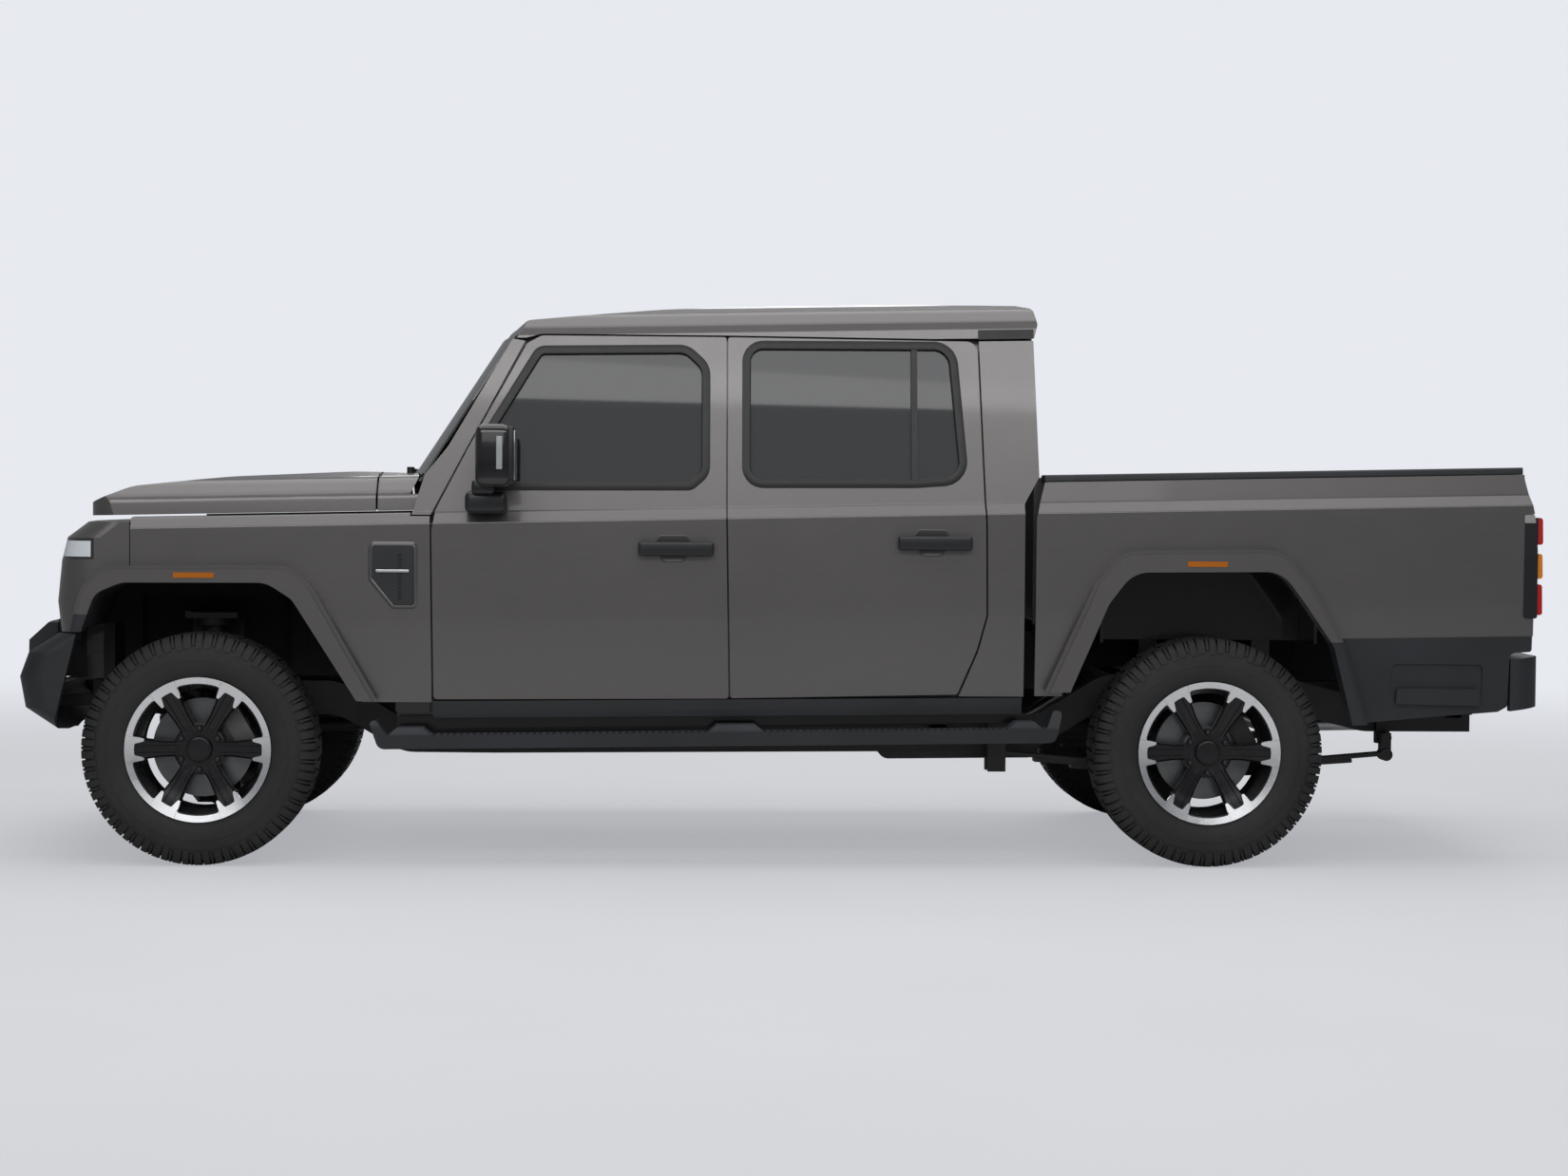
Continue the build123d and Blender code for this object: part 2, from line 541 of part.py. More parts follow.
def windscreen_block(offset, thick):
    """Bowed windscreen sheet that leans back along the pillars, offset mm behind its outer face."""
    lean = (299.0, 457.0)
    z0 = 1262.0
    x0 = -1226 - (1339 - z0) * lean[0] / lean[1] + offset
    edge, bow = 800.0, 84.0
    rise = 640.0

    def arc(x):
        return Edge.make_three_point_arc(Vector(x, -edge, z0), Vector(x - bow, 0, z0), Vector(x, edge, z0))

    front, rear = arc(x0), arc(x0 + thick)
    face = Face(Wire([front, Edge.make_line(front @ 1, rear @ 1), rear, Edge.make_line(rear @ 0, front @ 0)]))
    return Solid.extrude(face, Vector(rise * lean[0] / lean[1], 0, rise))


def cab_body():
    """Floor with tunnel, sills, firewall, pillars, door jambs, rear wall and rear quarters."""
    jamb = side_band(SIDE_CAB, FIREWALL_X, 806, DOOR_T + 44, DOOR_T + FIT)
    profile = [(-1320, 500, 0), (-1320, 1150, 0), (-1262, 1192, 0), (-1218, 1330, 0), (-1144, 1424, 0), (-912, 1797, 0),
               (-880, 1820.5, 0), (840, 1861, 0), (840, 1336, 0), (800, 1250, 0), (800, 560, 0), (-1000, 480, 0)]
    jamb = jamb & plate(profile, -900, -600)
    jamb = jamb - plate(grown(FRONT_DOOR, -44), -900, -600) - plate(grown(REAR_DOOR, -44), -900, -600)
    pillar = side_band(SIDE_CAB, -1300, -860, DOOR_T + 2) & plate(PILLAR, -900, -600)
    quarter = side_band(SIDE_CAB, 580, 880, DOOR_T + 2) & plate(CAB_QUARTER, -900, -600)
    hinge_post = side_band(SIDE_CAB, -1320, -1207, DOOR_T + 60, PANEL_T + FIT) & block(-1320, -1207, -900, -700, 520, 1150)
    sill = bar([(-(SILL_Y - DOOR_T - 1), 470, 0), (-(SILL_Y - DOOR_T - 1), FLOOR_Z, 0), (-700, FLOOR_Z, 0), (-700, 500, 0)],
               -1320, 800)
    side = fused(jamb, pillar, quarter, hinge_post, sill)
    floor = bar([(-760, FLOOR_Z - FLOOR_T, 0), (-760, FLOOR_Z, 0), (760, FLOOR_Z, 0), (760, FLOOR_Z - FLOOR_T, 0)],
                -1320, 806)
    tunnel_out = bar([(-180, 540, 0), (-165, 704, 40), (165, 704, 40), (180, 540, 0)], -1320, -150)
    tunnel_in = bar([(-166, 500, 0), (-153, 692, 30), (153, 692, 30), (166, 500, 0)], -1400, -162)
    firewall = block(-1332, -1316, -770, 770, 520, 1196) & cab_interior_bar(DOOR_T + 20)
    wall_outline = [(794, 530, 0), (814, 530, 0), (814, 1242, 30), (866, 1336, 20), (846, 1940, 0), (826, 1940, 0),
                    (846, 1340, 20), (794, 1246, 30)]
    rear_wall = plate(wall_outline, -860, 860) & cab_hollow(DOOR_T - 2)
    rear_wall = rear_wall - (plate([(700, 1800, 0), (700, 2000, 0), (950, 2000, 0), (950, 1800, 0)], -690 - FIT, 690 + FIT)
                             - plate(grown(ROOF_UNDER, -2 * FIT), -700, 700))
    opening = [(-600, 1395, 40), (-600, 1745, 40), (600, 1745, 40), (600, 1395, 40)]
    cut = Solid.extrude(Face(rounded(opening, lambda y, z: Vector(760, y, z))), Vector(140, 0, 0))
    shell = fused(side, mirrored(side), floor, tunnel_out, firewall, rear_wall)
    return shell - tunnel_in - cut


def roof_panel():
    """Roof skin with its drip rails and bowed front edge."""
    side = [(-1060, 1798, 0), (-1060, 1812, 0), (-930, 1834, 0), (-882, 1860, 60), (-400, 1909, 2500), (250, 1936, 4000),
            (800, 1931, 0), (852, 1918, 20), (864, 1860, 10), (852, 1813, 0), (660, 1806, 0), (-204, 1812, 0),
            (-836, 1812, 30), (-888, 1798, 0)]
    whole = bar(whole_section(ROOF_OUTER), -1100, 900) & plate(side, -900, 900)
    hollow = bar(whole_section(ROOF_INNER), -1200, 1000) & plate(ROOF_UNDER, -900, 900)
    return whole - hollow - windscreen_block(-600, 600 + GLASS_T + SEAM)


def windscreen():
    glass = windscreen_block(0, GLASS_T + 1) & cab_interior_bar(DOOR_T + 2 + FIT)
    trim = [(-1400, 1306, 0), (-1000, 1306, 0), (-800, 1806, 0), (-1120, 1806, 0)]
    return glass & plate(trim, -850, 850)


def rear_window():
    outline = [(-600, 1395, 40), (-600, 1745, 40), (600, 1745, 40), (600, 1395, 40)]
    pane = Solid.extrude(Face(rounded(grown(outline, -FIT), lambda y, z: Vector(760, y, z))), Vector(140, 0, 0))
    sheet = [(857, 1380, 0), (851, 1380, 0), (839, 1760, 0), (845, 1760, 0)]
    return pane & plate(sheet, -650, 650)


def door(outline, window):
    """Left door as thick as the whole door, with its window cut."""
    skin = side_band(SIDE_CAB, -1300, 860, DOOR_SKIN_T) & plate(outline, -920, -640)
    shell = side_band(SIDE_CAB, -1300, 860, DOOR_T, DOOR_SKIN_T) & plate(outline, -920, -640)
    # The shell stops short of the skin's rear edge, so that it swings out past the next panel
    shell = shell & plate([(x - 10, z, r) for x, z, r in outline], -920, -640)
    return fused(skin, shell) - plate(window, -920, -640)


def door_glass(window):
    band = side_band(SIDE_CAB, -1300, 860, GLASS_IN + GLASS_T, GLASS_IN)
    return band & plate(grown(window, -FIT), -920, -640)


def skin_y(z, x=0.0):
    """Distance out of the body side at a height."""
    h = z - climb(x)
    stations = [(SILL_Z, SILL_Y), (860, BELT_Y - 4), (BELT_Z, BELT_Y), (SHOULDER_Z, SHOULDER_Y), (GUTTER_Z, GUTTER_Y)]
    for (z0, y0), (z1, y1) in zip(stations, stations[1:]):
        if h <= z1:
            return y0 + (y1 - y0) * (h - z0) / (z1 - z0)
    return GUTTER_Y


def door_handle(x0, x1, z):
    """Pull handle on two feet, with its bezel."""
    seat = skin_y(z, x0)
    grip = slab([(x0, -seat - 18, 4), (x0, -seat - 30, 7), (x1, -seat - 30, 7), (x1, -seat - 18, 4)], z - 22, z + 22)
    feet = [block(a, a + 26, -seat - 20, -seat - 0.6, z - 14, z + 14) for a in (x0 + 12, x1 - 40)]
    return fused(grip, *feet)


def mirror_unit():
    """Left mirror: foot on the door shoulder and the head outboard of it."""
    foot = plate([(-1083, 1232, 0), (-1070, 1270, 10), (-945, 1272, 12), (-940, 1232, 0)], -924, -864.6)
    neck = plate([(-1062, 1250, 8), (-1056, 1340, 8), (-992, 1340, 8), (-980, 1250, 8)], -960, -900)
    head_plan = [(-1041, -1120, 40), (-914, -1136, 22), (-914, -918, 14), (-1035, -930, 50)]
    head_side = [(-1043, 1320, 30), (-1020, 1290, 20), (-914, 1290, 16), (-914, 1492, 20), (-1005, 1496, 40)]
    head = slab(head_plan, 1280, 1500) & plate(head_side, -1200, -880)
    return fused(foot, neck, head)


def front_fender():
    """Left front wing, a thin panel with its shelf under the hood edge."""
    shelf = [(SHOULDER_Y, SHOULDER_Z, 12), (806, SHOULDER_Z + 2, 0)]
    outer = [(-y, z, r) for y, z, r in SIDE_LOW + shelf]
    inner = [(-(y - PANEL_T), z, r) for y, z, r in SIDE_LOW]
    inner = inner + [(-(SHOULDER_Y - PANEL_T), SHOULDER_Z - PANEL_T, 6), (-806, SHOULDER_Z + 2 - PANEL_T, 0)]
    band = bar(outer + list(reversed(inner)), -2300, -1200)
    outline = [(-2209, 880, 0), (-2209, 1260, 0), (-1274, 1260, 0), (-1274, 1187, 0),
               (-1208, 1187, 0), (-1207, 1134, 0), (-1199, 556, 0), (-1440, 556, 0)]
    return (band & plate(outline, -930, -700)) - plate(grown(FRONT_ARCH, 13 + FIT), -930, -700)


def hood():
    section = [(-801, 1236, 0), (-796, 1296, 50), (-735, 1352, 90), (-480, 1378, 700), (0, 1388, 0)]
    inner = [(-779, 1236, 0), (-775, 1288, 40), (-722, 1334, 80), (-480, 1354, 600), (0, 1364, 0)]
    side = [(-2430, 1150, 0), (-2418, 1166, 0), (-2372, 1222, 60), (-2225, 1282, 200), (-1900, 1318, 900),
            (-1500, 1339, 1200), (-1397, 1338, 0), (-1397, 1150, 0)]
    under = [(-2460, 1100, 0), (-2390, 1158, 0), (-2352, 1204, 60), (-2215, 1258, 200), (-1895, 1294, 900),
             (-1500, 1315, 1200), (-1300, 1314, 0), (-1300, 1100, 0)]

    def form(profile, outline, plan):
        right = [(-y, z, r) for y, z, r in reversed(profile[:-1])]
        top = [(profile[-1][0], profile[-1][1], 6000)]
        return bar(profile[:-1] + top + right, -2500, -1300) & plate(outline, -900, 900) & plan

    whole = form(section, side, nose([(1100, -2428), (1400, -2428)], 803, 110, 0, -1397))
    hollow = form(inner, under, nose([(1000, -2428), (1450, -2428)], 803, 110, 26, -1300))
    return whole - hollow


def cowl():
    """Body-coloured cowl sides and the panel between the hood and the windscreen."""
    section = [(-801, 1236, 0), (-796, 1296, 50), (-735, 1352, 90), (-480, 1378, 700), (0, 1388, 0)]
    right = [(-y, z, r) for y, z, r in reversed(section[:-1])]
    whole = bar(section[:-1] + [(0, 1388, 6000)] + right, -1420, -1200)
    inner = [(-785, 1200, 0), (-780, 1290, 40), (-726, 1334, 80), (-480, 1360, 600), (480, 1360, 600), (726, 1334, 80),
             (780, 1290, 40), (785, 1200, 0)]
    ring = whole - bar(inner, -1430, -1190)
    outline = [(-1390, 1150, 0), (-1390, 1337, 0), (-1262, 1334, 0), (-1228, 1318, 0), (-1276, 1198, 0), (-1280, 1150, 0)]
    piece = (ring & plate(outline, -900, 900)) - windscreen_block(-SEAM, 300)
    left = piece & block(-1500, -1100, -900, -722, 1100, 1500)
    middle = piece & block(-1500, -1100, -722 + FIT, 722 - FIT, 1100, 1500)
    seal = block(HOOD_REAR_X - 3 + FIT, -1386, -690, 690, 1318, 1330)
    return left, fused(middle, seal)


def wipers():
    """Two arms with blades, lying at the foot of the windscreen."""
    arms = []
    for y0, y1 in [(-560, -90), (30, 500)]:
        x0, x1 = WIPER_X + 40 * (y0 / 560) ** 2, WIPER_X + 40 * (y1 / 560) ** 2
        pivot = rod((x0, y0, 1337 - 3 * (x0 + 1390) / 128 + FIT), (x0, y0, 1356), 13)
        arms.append(fused(pivot, rod((x0, y0, 1350), (x1, y1, 1352), 6)))
    return arms


def fascia():
    """Front panel that wraps to the wings, open for the grille and headlamps."""
    whole = nose(FASCIA_LEVELS, 891, 130)
    hollow = nose([(700, -2531), (1060, -2500), (1140, -2440)], 891, 130, 40, -2150)
    panel = whole - hollow
    panel = panel - block(-2700, -2300, -530, 530, 846, 1096)
    lamp_hole = block(-2700, -2330, -900, -585, 1034, 1104)
    panel = panel - lamp_hole - mirrored(lamp_hole)
    arch = plate(grown(FRONT_ARCH, 13 + FIT), -930, -700)
    return panel - arch - mirrored(arch)


def grille():
    """Frame and level bars in the front opening."""
    zone = nose([(840, -2530), (1100, -2504)], 891, 130) - nose([(840, -2530), (1100, -2504)], 891, 130, 26, -2200)
    frame_bars = zone & block(-2700, -2300, -529.7, 529.7, 846.3, 1095.7)
    window = block(-2700, -2300, -500, 500, 872, 1070)
    ring = frame_bars - window
    rails = [zone & block(-2700, -2300, -502, 502, z - 8, z + 8) for z in (905, 938, 971, 1004, 1037)]
    stays = [zone & block(-2700, -2300, y - 7, y + 7, 870, 1072) for y in (-250, 0, 250)]
    return fused(ring, *rails, *stays)


def headlamp():
    """Left lamp unit that wraps the corner."""
    body = nose(FASCIA_LEVELS, 889, 128) - nose(FASCIA_LEVELS, 889, 128, 70, -2200)
    return body & block(-2700, -2330 - FIT, -900, -585 - FIT, 1034 + FIT, 1104 - FIT)


def radiator_support():
    """Upright frame behind the grille with the radiator, carried on the rails."""
    panel = block(-2378, -2340, -445, 445, 600, 1120) - block(-2400, -2300, -400, 400, 640, 1060)
    core = block(-2372, -2346, -401, 401, 639, 1061)
    return fused(panel, core)


def bumper_arch_cut():
    """Space behind the front bumper's wing that the wheel needs."""
    region = plate([(-2380, 800, 0), (-2456, 490, 0), (-2456, 400, 0), (-2000, 400, 0), (-2000, 800, 0)], -960, -560)
    return region


def front_bumper():
    whole = nose(BUMPER_LEVELS, 924, 92, 0, -2325) - block(-2370, -2300, -1000, 1000, 400, 900)
    hollow = nose([(440, -2500), (533, -2631), (637, -2650), (720, -2620), (760, -2560)], 924, 92, 30, -2200)
    skin = whole - hollow
    skin = skin - bumper_arch_cut() - mirrored(bumper_arch_cut())
    return skin - block(-2700, -2300, -400, 400, 560, 650) - block(-2492, -2300, -800, 800, 700, 800)


def bumper_insert():
    """Raised grained piece over the middle of the front bumper, with the lower air intake's frame."""
    levels = [(520, -2634), (637, -2658), (740, -2656), (801, -2590)]
    proud = nose(levels, 924, 92, 0, -2400) & block(-2700, -2540, -436, 436, 500, 820)
    opening = block(-2700, -2500, -380, 380, 566, 644)
    return proud - nose(BUMPER_LEVELS, 924, 92, -FIT, -2300) - opening - nose(FASCIA_LEVELS, 891, 130, -FIT, -2200)


def bumper_bracket():
    """Left bracket from the frame rail into the front bumper's skin."""
    arm = block(-2660, -2420, -RAIL_FRONT_Y[1] + 6, -RAIL_FRONT_Y[0] - 6, 508, 548)
    return arm & nose(BUMPER_LEVELS, 924, 92, 8, -2325)


def flare(outer, inner, cuts):
    """Left wheel arch flare: outer band and the lip that turns in over the wing's edge."""
    ring = plate(grown(outer, -14), -FLARE_Y, -BELT_Y - 1) + plate(outer, -FLARE_Y + 16, -BELT_Y - 1)
    lip = plate(grown(inner, 13), -BELT_Y - 2, -866)
    piece = fused(ring, lip) - plate(inner, -1000, -700) - block(-3000, 3000, -1000, -700, 200, 490)
    for x0, x1, z in cuts:
        piece = piece - block(x0, x1, -1000, -800, 200, z)
    return piece


def flare_end(outer, inner, x0, x1, z0, z1):
    """Black end piece of a flare between two heights."""
    whole = flare(outer, inner, [])
    return whole & block(x0, x1, -1000, -800, z0, z1)


def arch_liner(arch, y0, y1, cuts):
    """Wheelhouse liner that follows the arch, left side."""
    band = plate(grown(arch, 12), y0, y1) - plate(grown(arch, 2), y0 - 1, y1 + 1) - block(-3000, 3000, y0 - 1, y1 + 1, 200, 560)
    for x0, x1, z in cuts:
        band = band - block(x0, x1, -1000, -300, 100, z)
    return band


def bed_box():
    """Load bed: floor, inner and outer sides, front wall and wheel boxes in one hollow piece."""
    top = RAIL_TOP_Z
    outer = side_band(SIDE_BED, BED_FRONT_X, 2578, PANEL_T)
    outline = [(BED_FRONT_X, 586, 0), (BED_FRONT_X - 4, 1177, 0), (886, 1320, 0), (890, 1400, 0), (2544, 1400, 0),
               (2547, 1340, 0), (2564, 1270, 60), (2575, 1221, 0), (2577, 800, 0), (1700, 784, 0), (1000, 586, 0)]
    skin = (outer & plate(outline, -930, -700)) - plate(grown(REAR_ARCH, 13 + FIT), -930, -700)
    skin = skin - plate(LAMP_BACK, -930, -700)
    inner = bar([(-BED_INNER_Y - 14, BED_FLOOR_Z - 40, 0), (-BED_INNER_Y - 14, top, 0), (-BED_INNER_Y, top, 0),
                 (-BED_INNER_Y, BED_FLOOR_Z - 40, 0)], 860, 2516)
    rail = bar([(-RAIL_TOP_Y + 2, top - 14, 0), (-RAIL_TOP_Y, top, 0), (-BED_INNER_Y, top, 0), (-BED_INNER_Y, top - 14, 0)],
               890, 2516)
    post = bar([(-RAIL_TOP_Y + 8, BED_FLOOR_Z - 30, 0), (-RAIL_TOP_Y + 8, top, 0), (-GATE_Y - 6, top, 0),
                (-GATE_Y - 6, BED_FLOOR_Z - 30, 0)], 2500, 2534)
    arch_side = [(1080, 740, 0), (1080, 940, 80), (1190, 1040, 80), (1720, 1040, 80), (1830, 940, 80), (1830, 740, 0)]
    box = plate(arch_side, -862, -600) - plate(grown(arch_side, -10), -900, -610) - block(1000, 1900, -900, -500, 700, 770)
    box = box - plate([(1090, 700, 0), (1090, 770, 0), (1820, 770, 0), (1820, 700, 0)], -900, -610)
    side = fused(skin, inner, rail, post)
    floor = bar([(-762, BED_FLOOR_Z - 30, 0), (-762, BED_FLOOR_Z, 0), (762, BED_FLOOR_Z, 0), (762, BED_FLOOR_Z - 30, 0)],
                860, 2516)
    ribs = [bar([(y - 42, BED_FLOOR_Z - 5, 0), (y - 34, BED_FLOOR_Z + RIB_H, 0), (y + 34, BED_FLOOR_Z + RIB_H, 0),
                 (y + 42, BED_FLOOR_Z - 5, 0)], 950, 2470) for y in range(-480, 481, 160)]
    front = bar([(-858, BED_FLOOR_Z - 30, 0), (-858, top, 0), (858, top, 0), (858, BED_FLOOR_Z - 30, 0)], 890, 908)
    cut = plate(grown(arch_side, -10), -900, -610)
    whole = fused(side, mirrored(side), floor, front, *ribs) - cut - mirrored(cut)
    return fused(whole, box, mirrored(box))


def bed_sills():
    """Beams under the bed floor that stand on the frame rails."""
    beams = []
    for x, low in [(960, 620), (1290, 640.2), (1690, 640.2), (2330, 560.2)]:
        beams.append(block(x - 32, x + 32, -600, 600, low, BED_FLOOR_Z - 20 + climb(x)))
    return beams


def rail_cap():
    top = RAIL_TOP_Z
    return bar([(-RAIL_TOP_Y - 3, top + FIT, 6), (-RAIL_TOP_Y - 1, top + 25, 9), (-GATE_Y - 5, top + 25, 9),
                (-GATE_Y - 5, top + FIT, 0)], 886, 2540)


def tailgate():
    profile = [(2527, GATE_BOTTOM_Z, 0), (2580, GATE_BOTTOM_Z, 0), (2583, 850, 10), (2575, 1221, 60), (2564, 1270, 40),
               (2553, GATE_TOP_Z, 0), (2542, GATE_TOP_Z + 24, 10), (2527, GATE_TOP_Z + 24, 5)]
    gate = plate(profile, -GATE_Y, GATE_Y)
    inset = block(2575, 2600, -560, 560, 900, 1180)
    bucket = block(2556, 2600, -110, 110, 1196, 1252)
    return gate - inset - bucket


def tail_lamp():
    """Left lamp cluster: black housing with three lenses standing proud, notched between them."""
    housing = [(2540.3, 862.3, 9.7), (2540.3, 1221.7, 9.7), (2576, 1221.7, 8), (2586, 1100, 0), (2587, 862.3, 8)]
    body = plate(housing, -BELT_Y - 2, -GATE_Y - 8)
    section = [(-BELT_Y - 1, 800, 0), (-BELT_Y - 1, 1190, 10), (-BELT_Y + 24, 1290, 0), (-GATE_Y - 8, 1290, 0),
               (-GATE_Y - 8, 800, 0)]
    body = body & bar(section, 2500, 2640, 0)
    lenses = [plate([(2570, z0, 6), (2570, z1, 6), (2604, z1, 10), (2606, z0, 10)], -BELT_Y + 4, -GATE_Y - 16)
              for z0, z1 in [(874, 980), (999, 1085), (1116, 1209)]]
    return fused(body, *lenses)


def rear_cladding():
    """Black lower panel behind the rear wheel with its recessed pocket."""
    outline = [(1917, 787.6, 0), (2573, 799.6, 0), (2573, 747, 10), (2497, 741, 20), (2494, 556, 10), (2462, 538, 20),
               (2215, 518, 0), (1999, 498, 0)]
    pocket = [(2075, 570, 10), (2090, 702, 10), (2404, 702, 16), (2404, 553, 10)]
    panel = side_band(SIDE_LOW, 1890, 2590, 40, -4) & plate(outline, -930, -800)
    panel = panel - plate(grown(REAR_FLARE, 2), -930, -800)
    well = plate(pocket, -930, -872)
    step = plate([(2100, 566, 6), (2104, 618, 8), (2390, 618, 8), (2390, 560, 6)], -892, -860)
    return fused(panel - well, step)


def rear_bumper():
    """Step bumper that wraps the rear corners, with a recess for a blank plate."""
    plan = [(2500, -884, 0), (2606, -884, 90), (2640, -420, 50), (2658, -400, 20), (2658, 400, 20), (2640, 420, 50),
            (2606, 884, 90), (2500, 884, 0)]
    side = [(2490, 540, 0), (2500, 720, 0), (2600, 730, 16), (2660, 726, 20), (2662, 640, 60), (2640, 560, 40)]
    whole = slab(plan, 500, 760) & plate(side, -900, 900)
    hollow = block(2490, 2570, -850, 850, 500, 700)
    plate_recess = block(2640, 2700, -270, 270, 580, 700)
    return whole - hollow - plate_recess


def hitch():
    """Receiver tube and brackets on the frame's tail, with a tow eye each side."""
    tube = block(2420, 2560, -34, 34, 486, 554) - block(2440, 2570, -25.5, 25.5, 494.5, 545.5)
    tube = tube - across(2510, -40, 40, 520, 8)
    beam = block(2380, 2440, -500, 500, 490, 550)
    arms = [block(2470, 2570 - FIT, y - 30, y + 30, 560, 640) for y in (-465, 465)]
    drop = [block(2440, 2480, y - 30, y + 30, 500, 640) for y in (-465, 465)]
    return [fused(tube, beam, *drop, *arms)]


def side_step():
    """Left running board with ends turned up, and three brackets to the frame."""
    outline = [(-1403, 500, 12), (-1371, 403, 30), (916, 433, 30), (939, 542, 12), (908, 542, 8), (884, 480, 16),
               (-1340, 449, 16), (-1378, 500, 8)]
    section = [(-862, 380, 0), (-862, 560, 0), (-955, 560, 0), (-STEP_Y, 480, 30), (-STEP_Y + 10, 400, 30), (-940, 380, 0)]
    board = plate(outline, -STEP_Y, -850) & bar(section, -1420, 960, 0)
    groove = plate([(-1300, 470, 0), (-1300, 446, 0), (850, 474, 0), (850, 500, 0)], -954, -880)
    board = board - groove
    brackets = [block(x - 30, x + 30, -880, -RAIL_REAR_Y[1], 404 + (x + 1371) * 0.013 + 6, 430 + (x + 1371) * 0.013)
                for x in (-950, -200, 560)]
    return fused(board, *brackets)


def sill_cladding():
    outline = [(-1195, 503, 8), (-1195, 560, 0), (811, 580, 0), (811, 524, 8)]
    body = side_band(SIDE_LOW, -1210, 820, DOOR_T - 3, 1)
    return body & plate(outline, -930, -760)


def side_marker(x0, x1, z):
    return block(x0, x1, -FLARE_Y - 3, -FLARE_Y - FIT, z - 9, z + 9)


def fender_vent():
    """Black vent on the left wing, with its slot and bar."""
    outline = [(-1398, 1085, 8), (-1262, 1085, 6), (-1261, 888, 6), (-1326, 888, 6), (-1398, 976, 10)]
    plate_part = plate(outline, -BELT_Y - 7, -BELT_Y + 0.5)
    bar_part = block(-1385, -1277, -BELT_Y - 12, -BELT_Y - 6, 997, 1005)
    return fused(plate_part - plate([(-1312, 900, 4), (-1312, 1060, 4), (-1300, 1060, 4), (-1300, 900, 4)],
                                    -BELT_Y - 10, -BELT_Y - 4), bar_part)


def dashboard():
    section = [(-1316 + FIT, 900, 0), (-1316 + FIT, 1190, 0), (-1180, 1206, 40), (-1010, 1165, 40), (-980, 1080, 40),
               (-1050, 940, 40), (-1080, 780, 20), (-1200, 760, 0)]
    body = plate(section, -742, 742)
    hood_part = plate([(-1120, 1180, 0), (-1100, 1232, 20), (-1000, 1222, 20), (-1000, 1120, 0)], -560, -230)
    console = plate([(-1100, 712, 0), (-1100, 900, 0), (-960, 860, 60), (-700, 850, 40), (-240, 860, 30), (-240, 724, 0)],
                    -110, 110)
    return [fused(body, hood_part), console]


def steering_wheel():
    centre = Plane(origin=(-880, -395, 1085), z_dir=(0.9, 0, 0.436))
    ring = centre * Torus(178, 15)
    hub = centre * Pos(0, 0, -14) * Cylinder(52, 40)
    arms = [centre * Pos(0, 0, -6) * Rot(0, 0, turn) * Pos(90, 0, 0) * Box(180, 34, 16) for turn in (0, 180, 270)]
    column = centre * Pos(0, 0, -90) * Cylinder(30, 150)
    return fused(hub, ring, *arms, column) - dashboard()[0]


def seat(y0, y1, x0, recline=0.27, top=1270, headrest=True):
    """Cushion, backrest and headrest of a seat between y0 and y1, front edge at x0."""
    cushion = plate([(x0, 700, 30), (x0 + 10, 812, 50), (x0 + 480, 790, 40), (x0 + 500, 690, 30)], y0, y1)
    foot = block(x0 + 60, x0 + 430, y0 + 60, y1 - 60, FLOOR_Z + climb(x0 + 430) + FIT, 702)
    lean = recline * (top - 790)
    back = plate([(x0 + 430, 740, 30), (x0 + 440 + lean, top, 36), (x0 + 520 + lean, top, 32), (x0 + 570, 740, 40)], y0, y1)
    pieces = [cushion, foot, back]
    if headrest:
        middle = (y0 + y1) / 2
        pieces.append(plate([(x0 + 445 + lean, top + 30, 20), (x0 + 460 + lean, top + 185, 30),
                             (x0 + 540 + lean, top + 185, 30), (x0 + 545 + lean, top + 30, 20)], middle - 125, middle + 125))
        for post in (-55, 55):
            pieces.append(rod((x0 + 485 + lean, middle + post, top - 30), (x0 + 495 + lean, middle + post, top + 60), 7))
    return fused(*pieces)


def rear_bench():
    """Three-place bench with its headrests."""
    rests = [plate([(694, 1250 + FIT, 12), (700, 1385, 24), (760, 1385, 24), (768, 1250 + FIT, 12)], middle - 115, middle + 115)
             for middle in (-400, 0, 400)]
    return [seat(-660, 660, 190, 0.12, 1250, False), *rests]


def front_liner():
    """Left front wheelhouse liner with its inner wall, open for the suspension and the steered wheel."""
    band = arch_liner(FRONT_ARCH, -865.7, -452, [(-2500, -2300, 802), (-1500, -1400, 566)])
    wall = plate(grown(FRONT_ARCH, 11), -462, -452) - block(-2240, -1720, -500, -400, 200, 905)
    wall = wall - block(-2500, -2300, -500, -400, 200, 802) - block(-1500, -1400, -500, -400, 200, 566)
    wall = wall - block(-2500, -1300, -500, -400, 200, 620)
    return fused(band, wall)


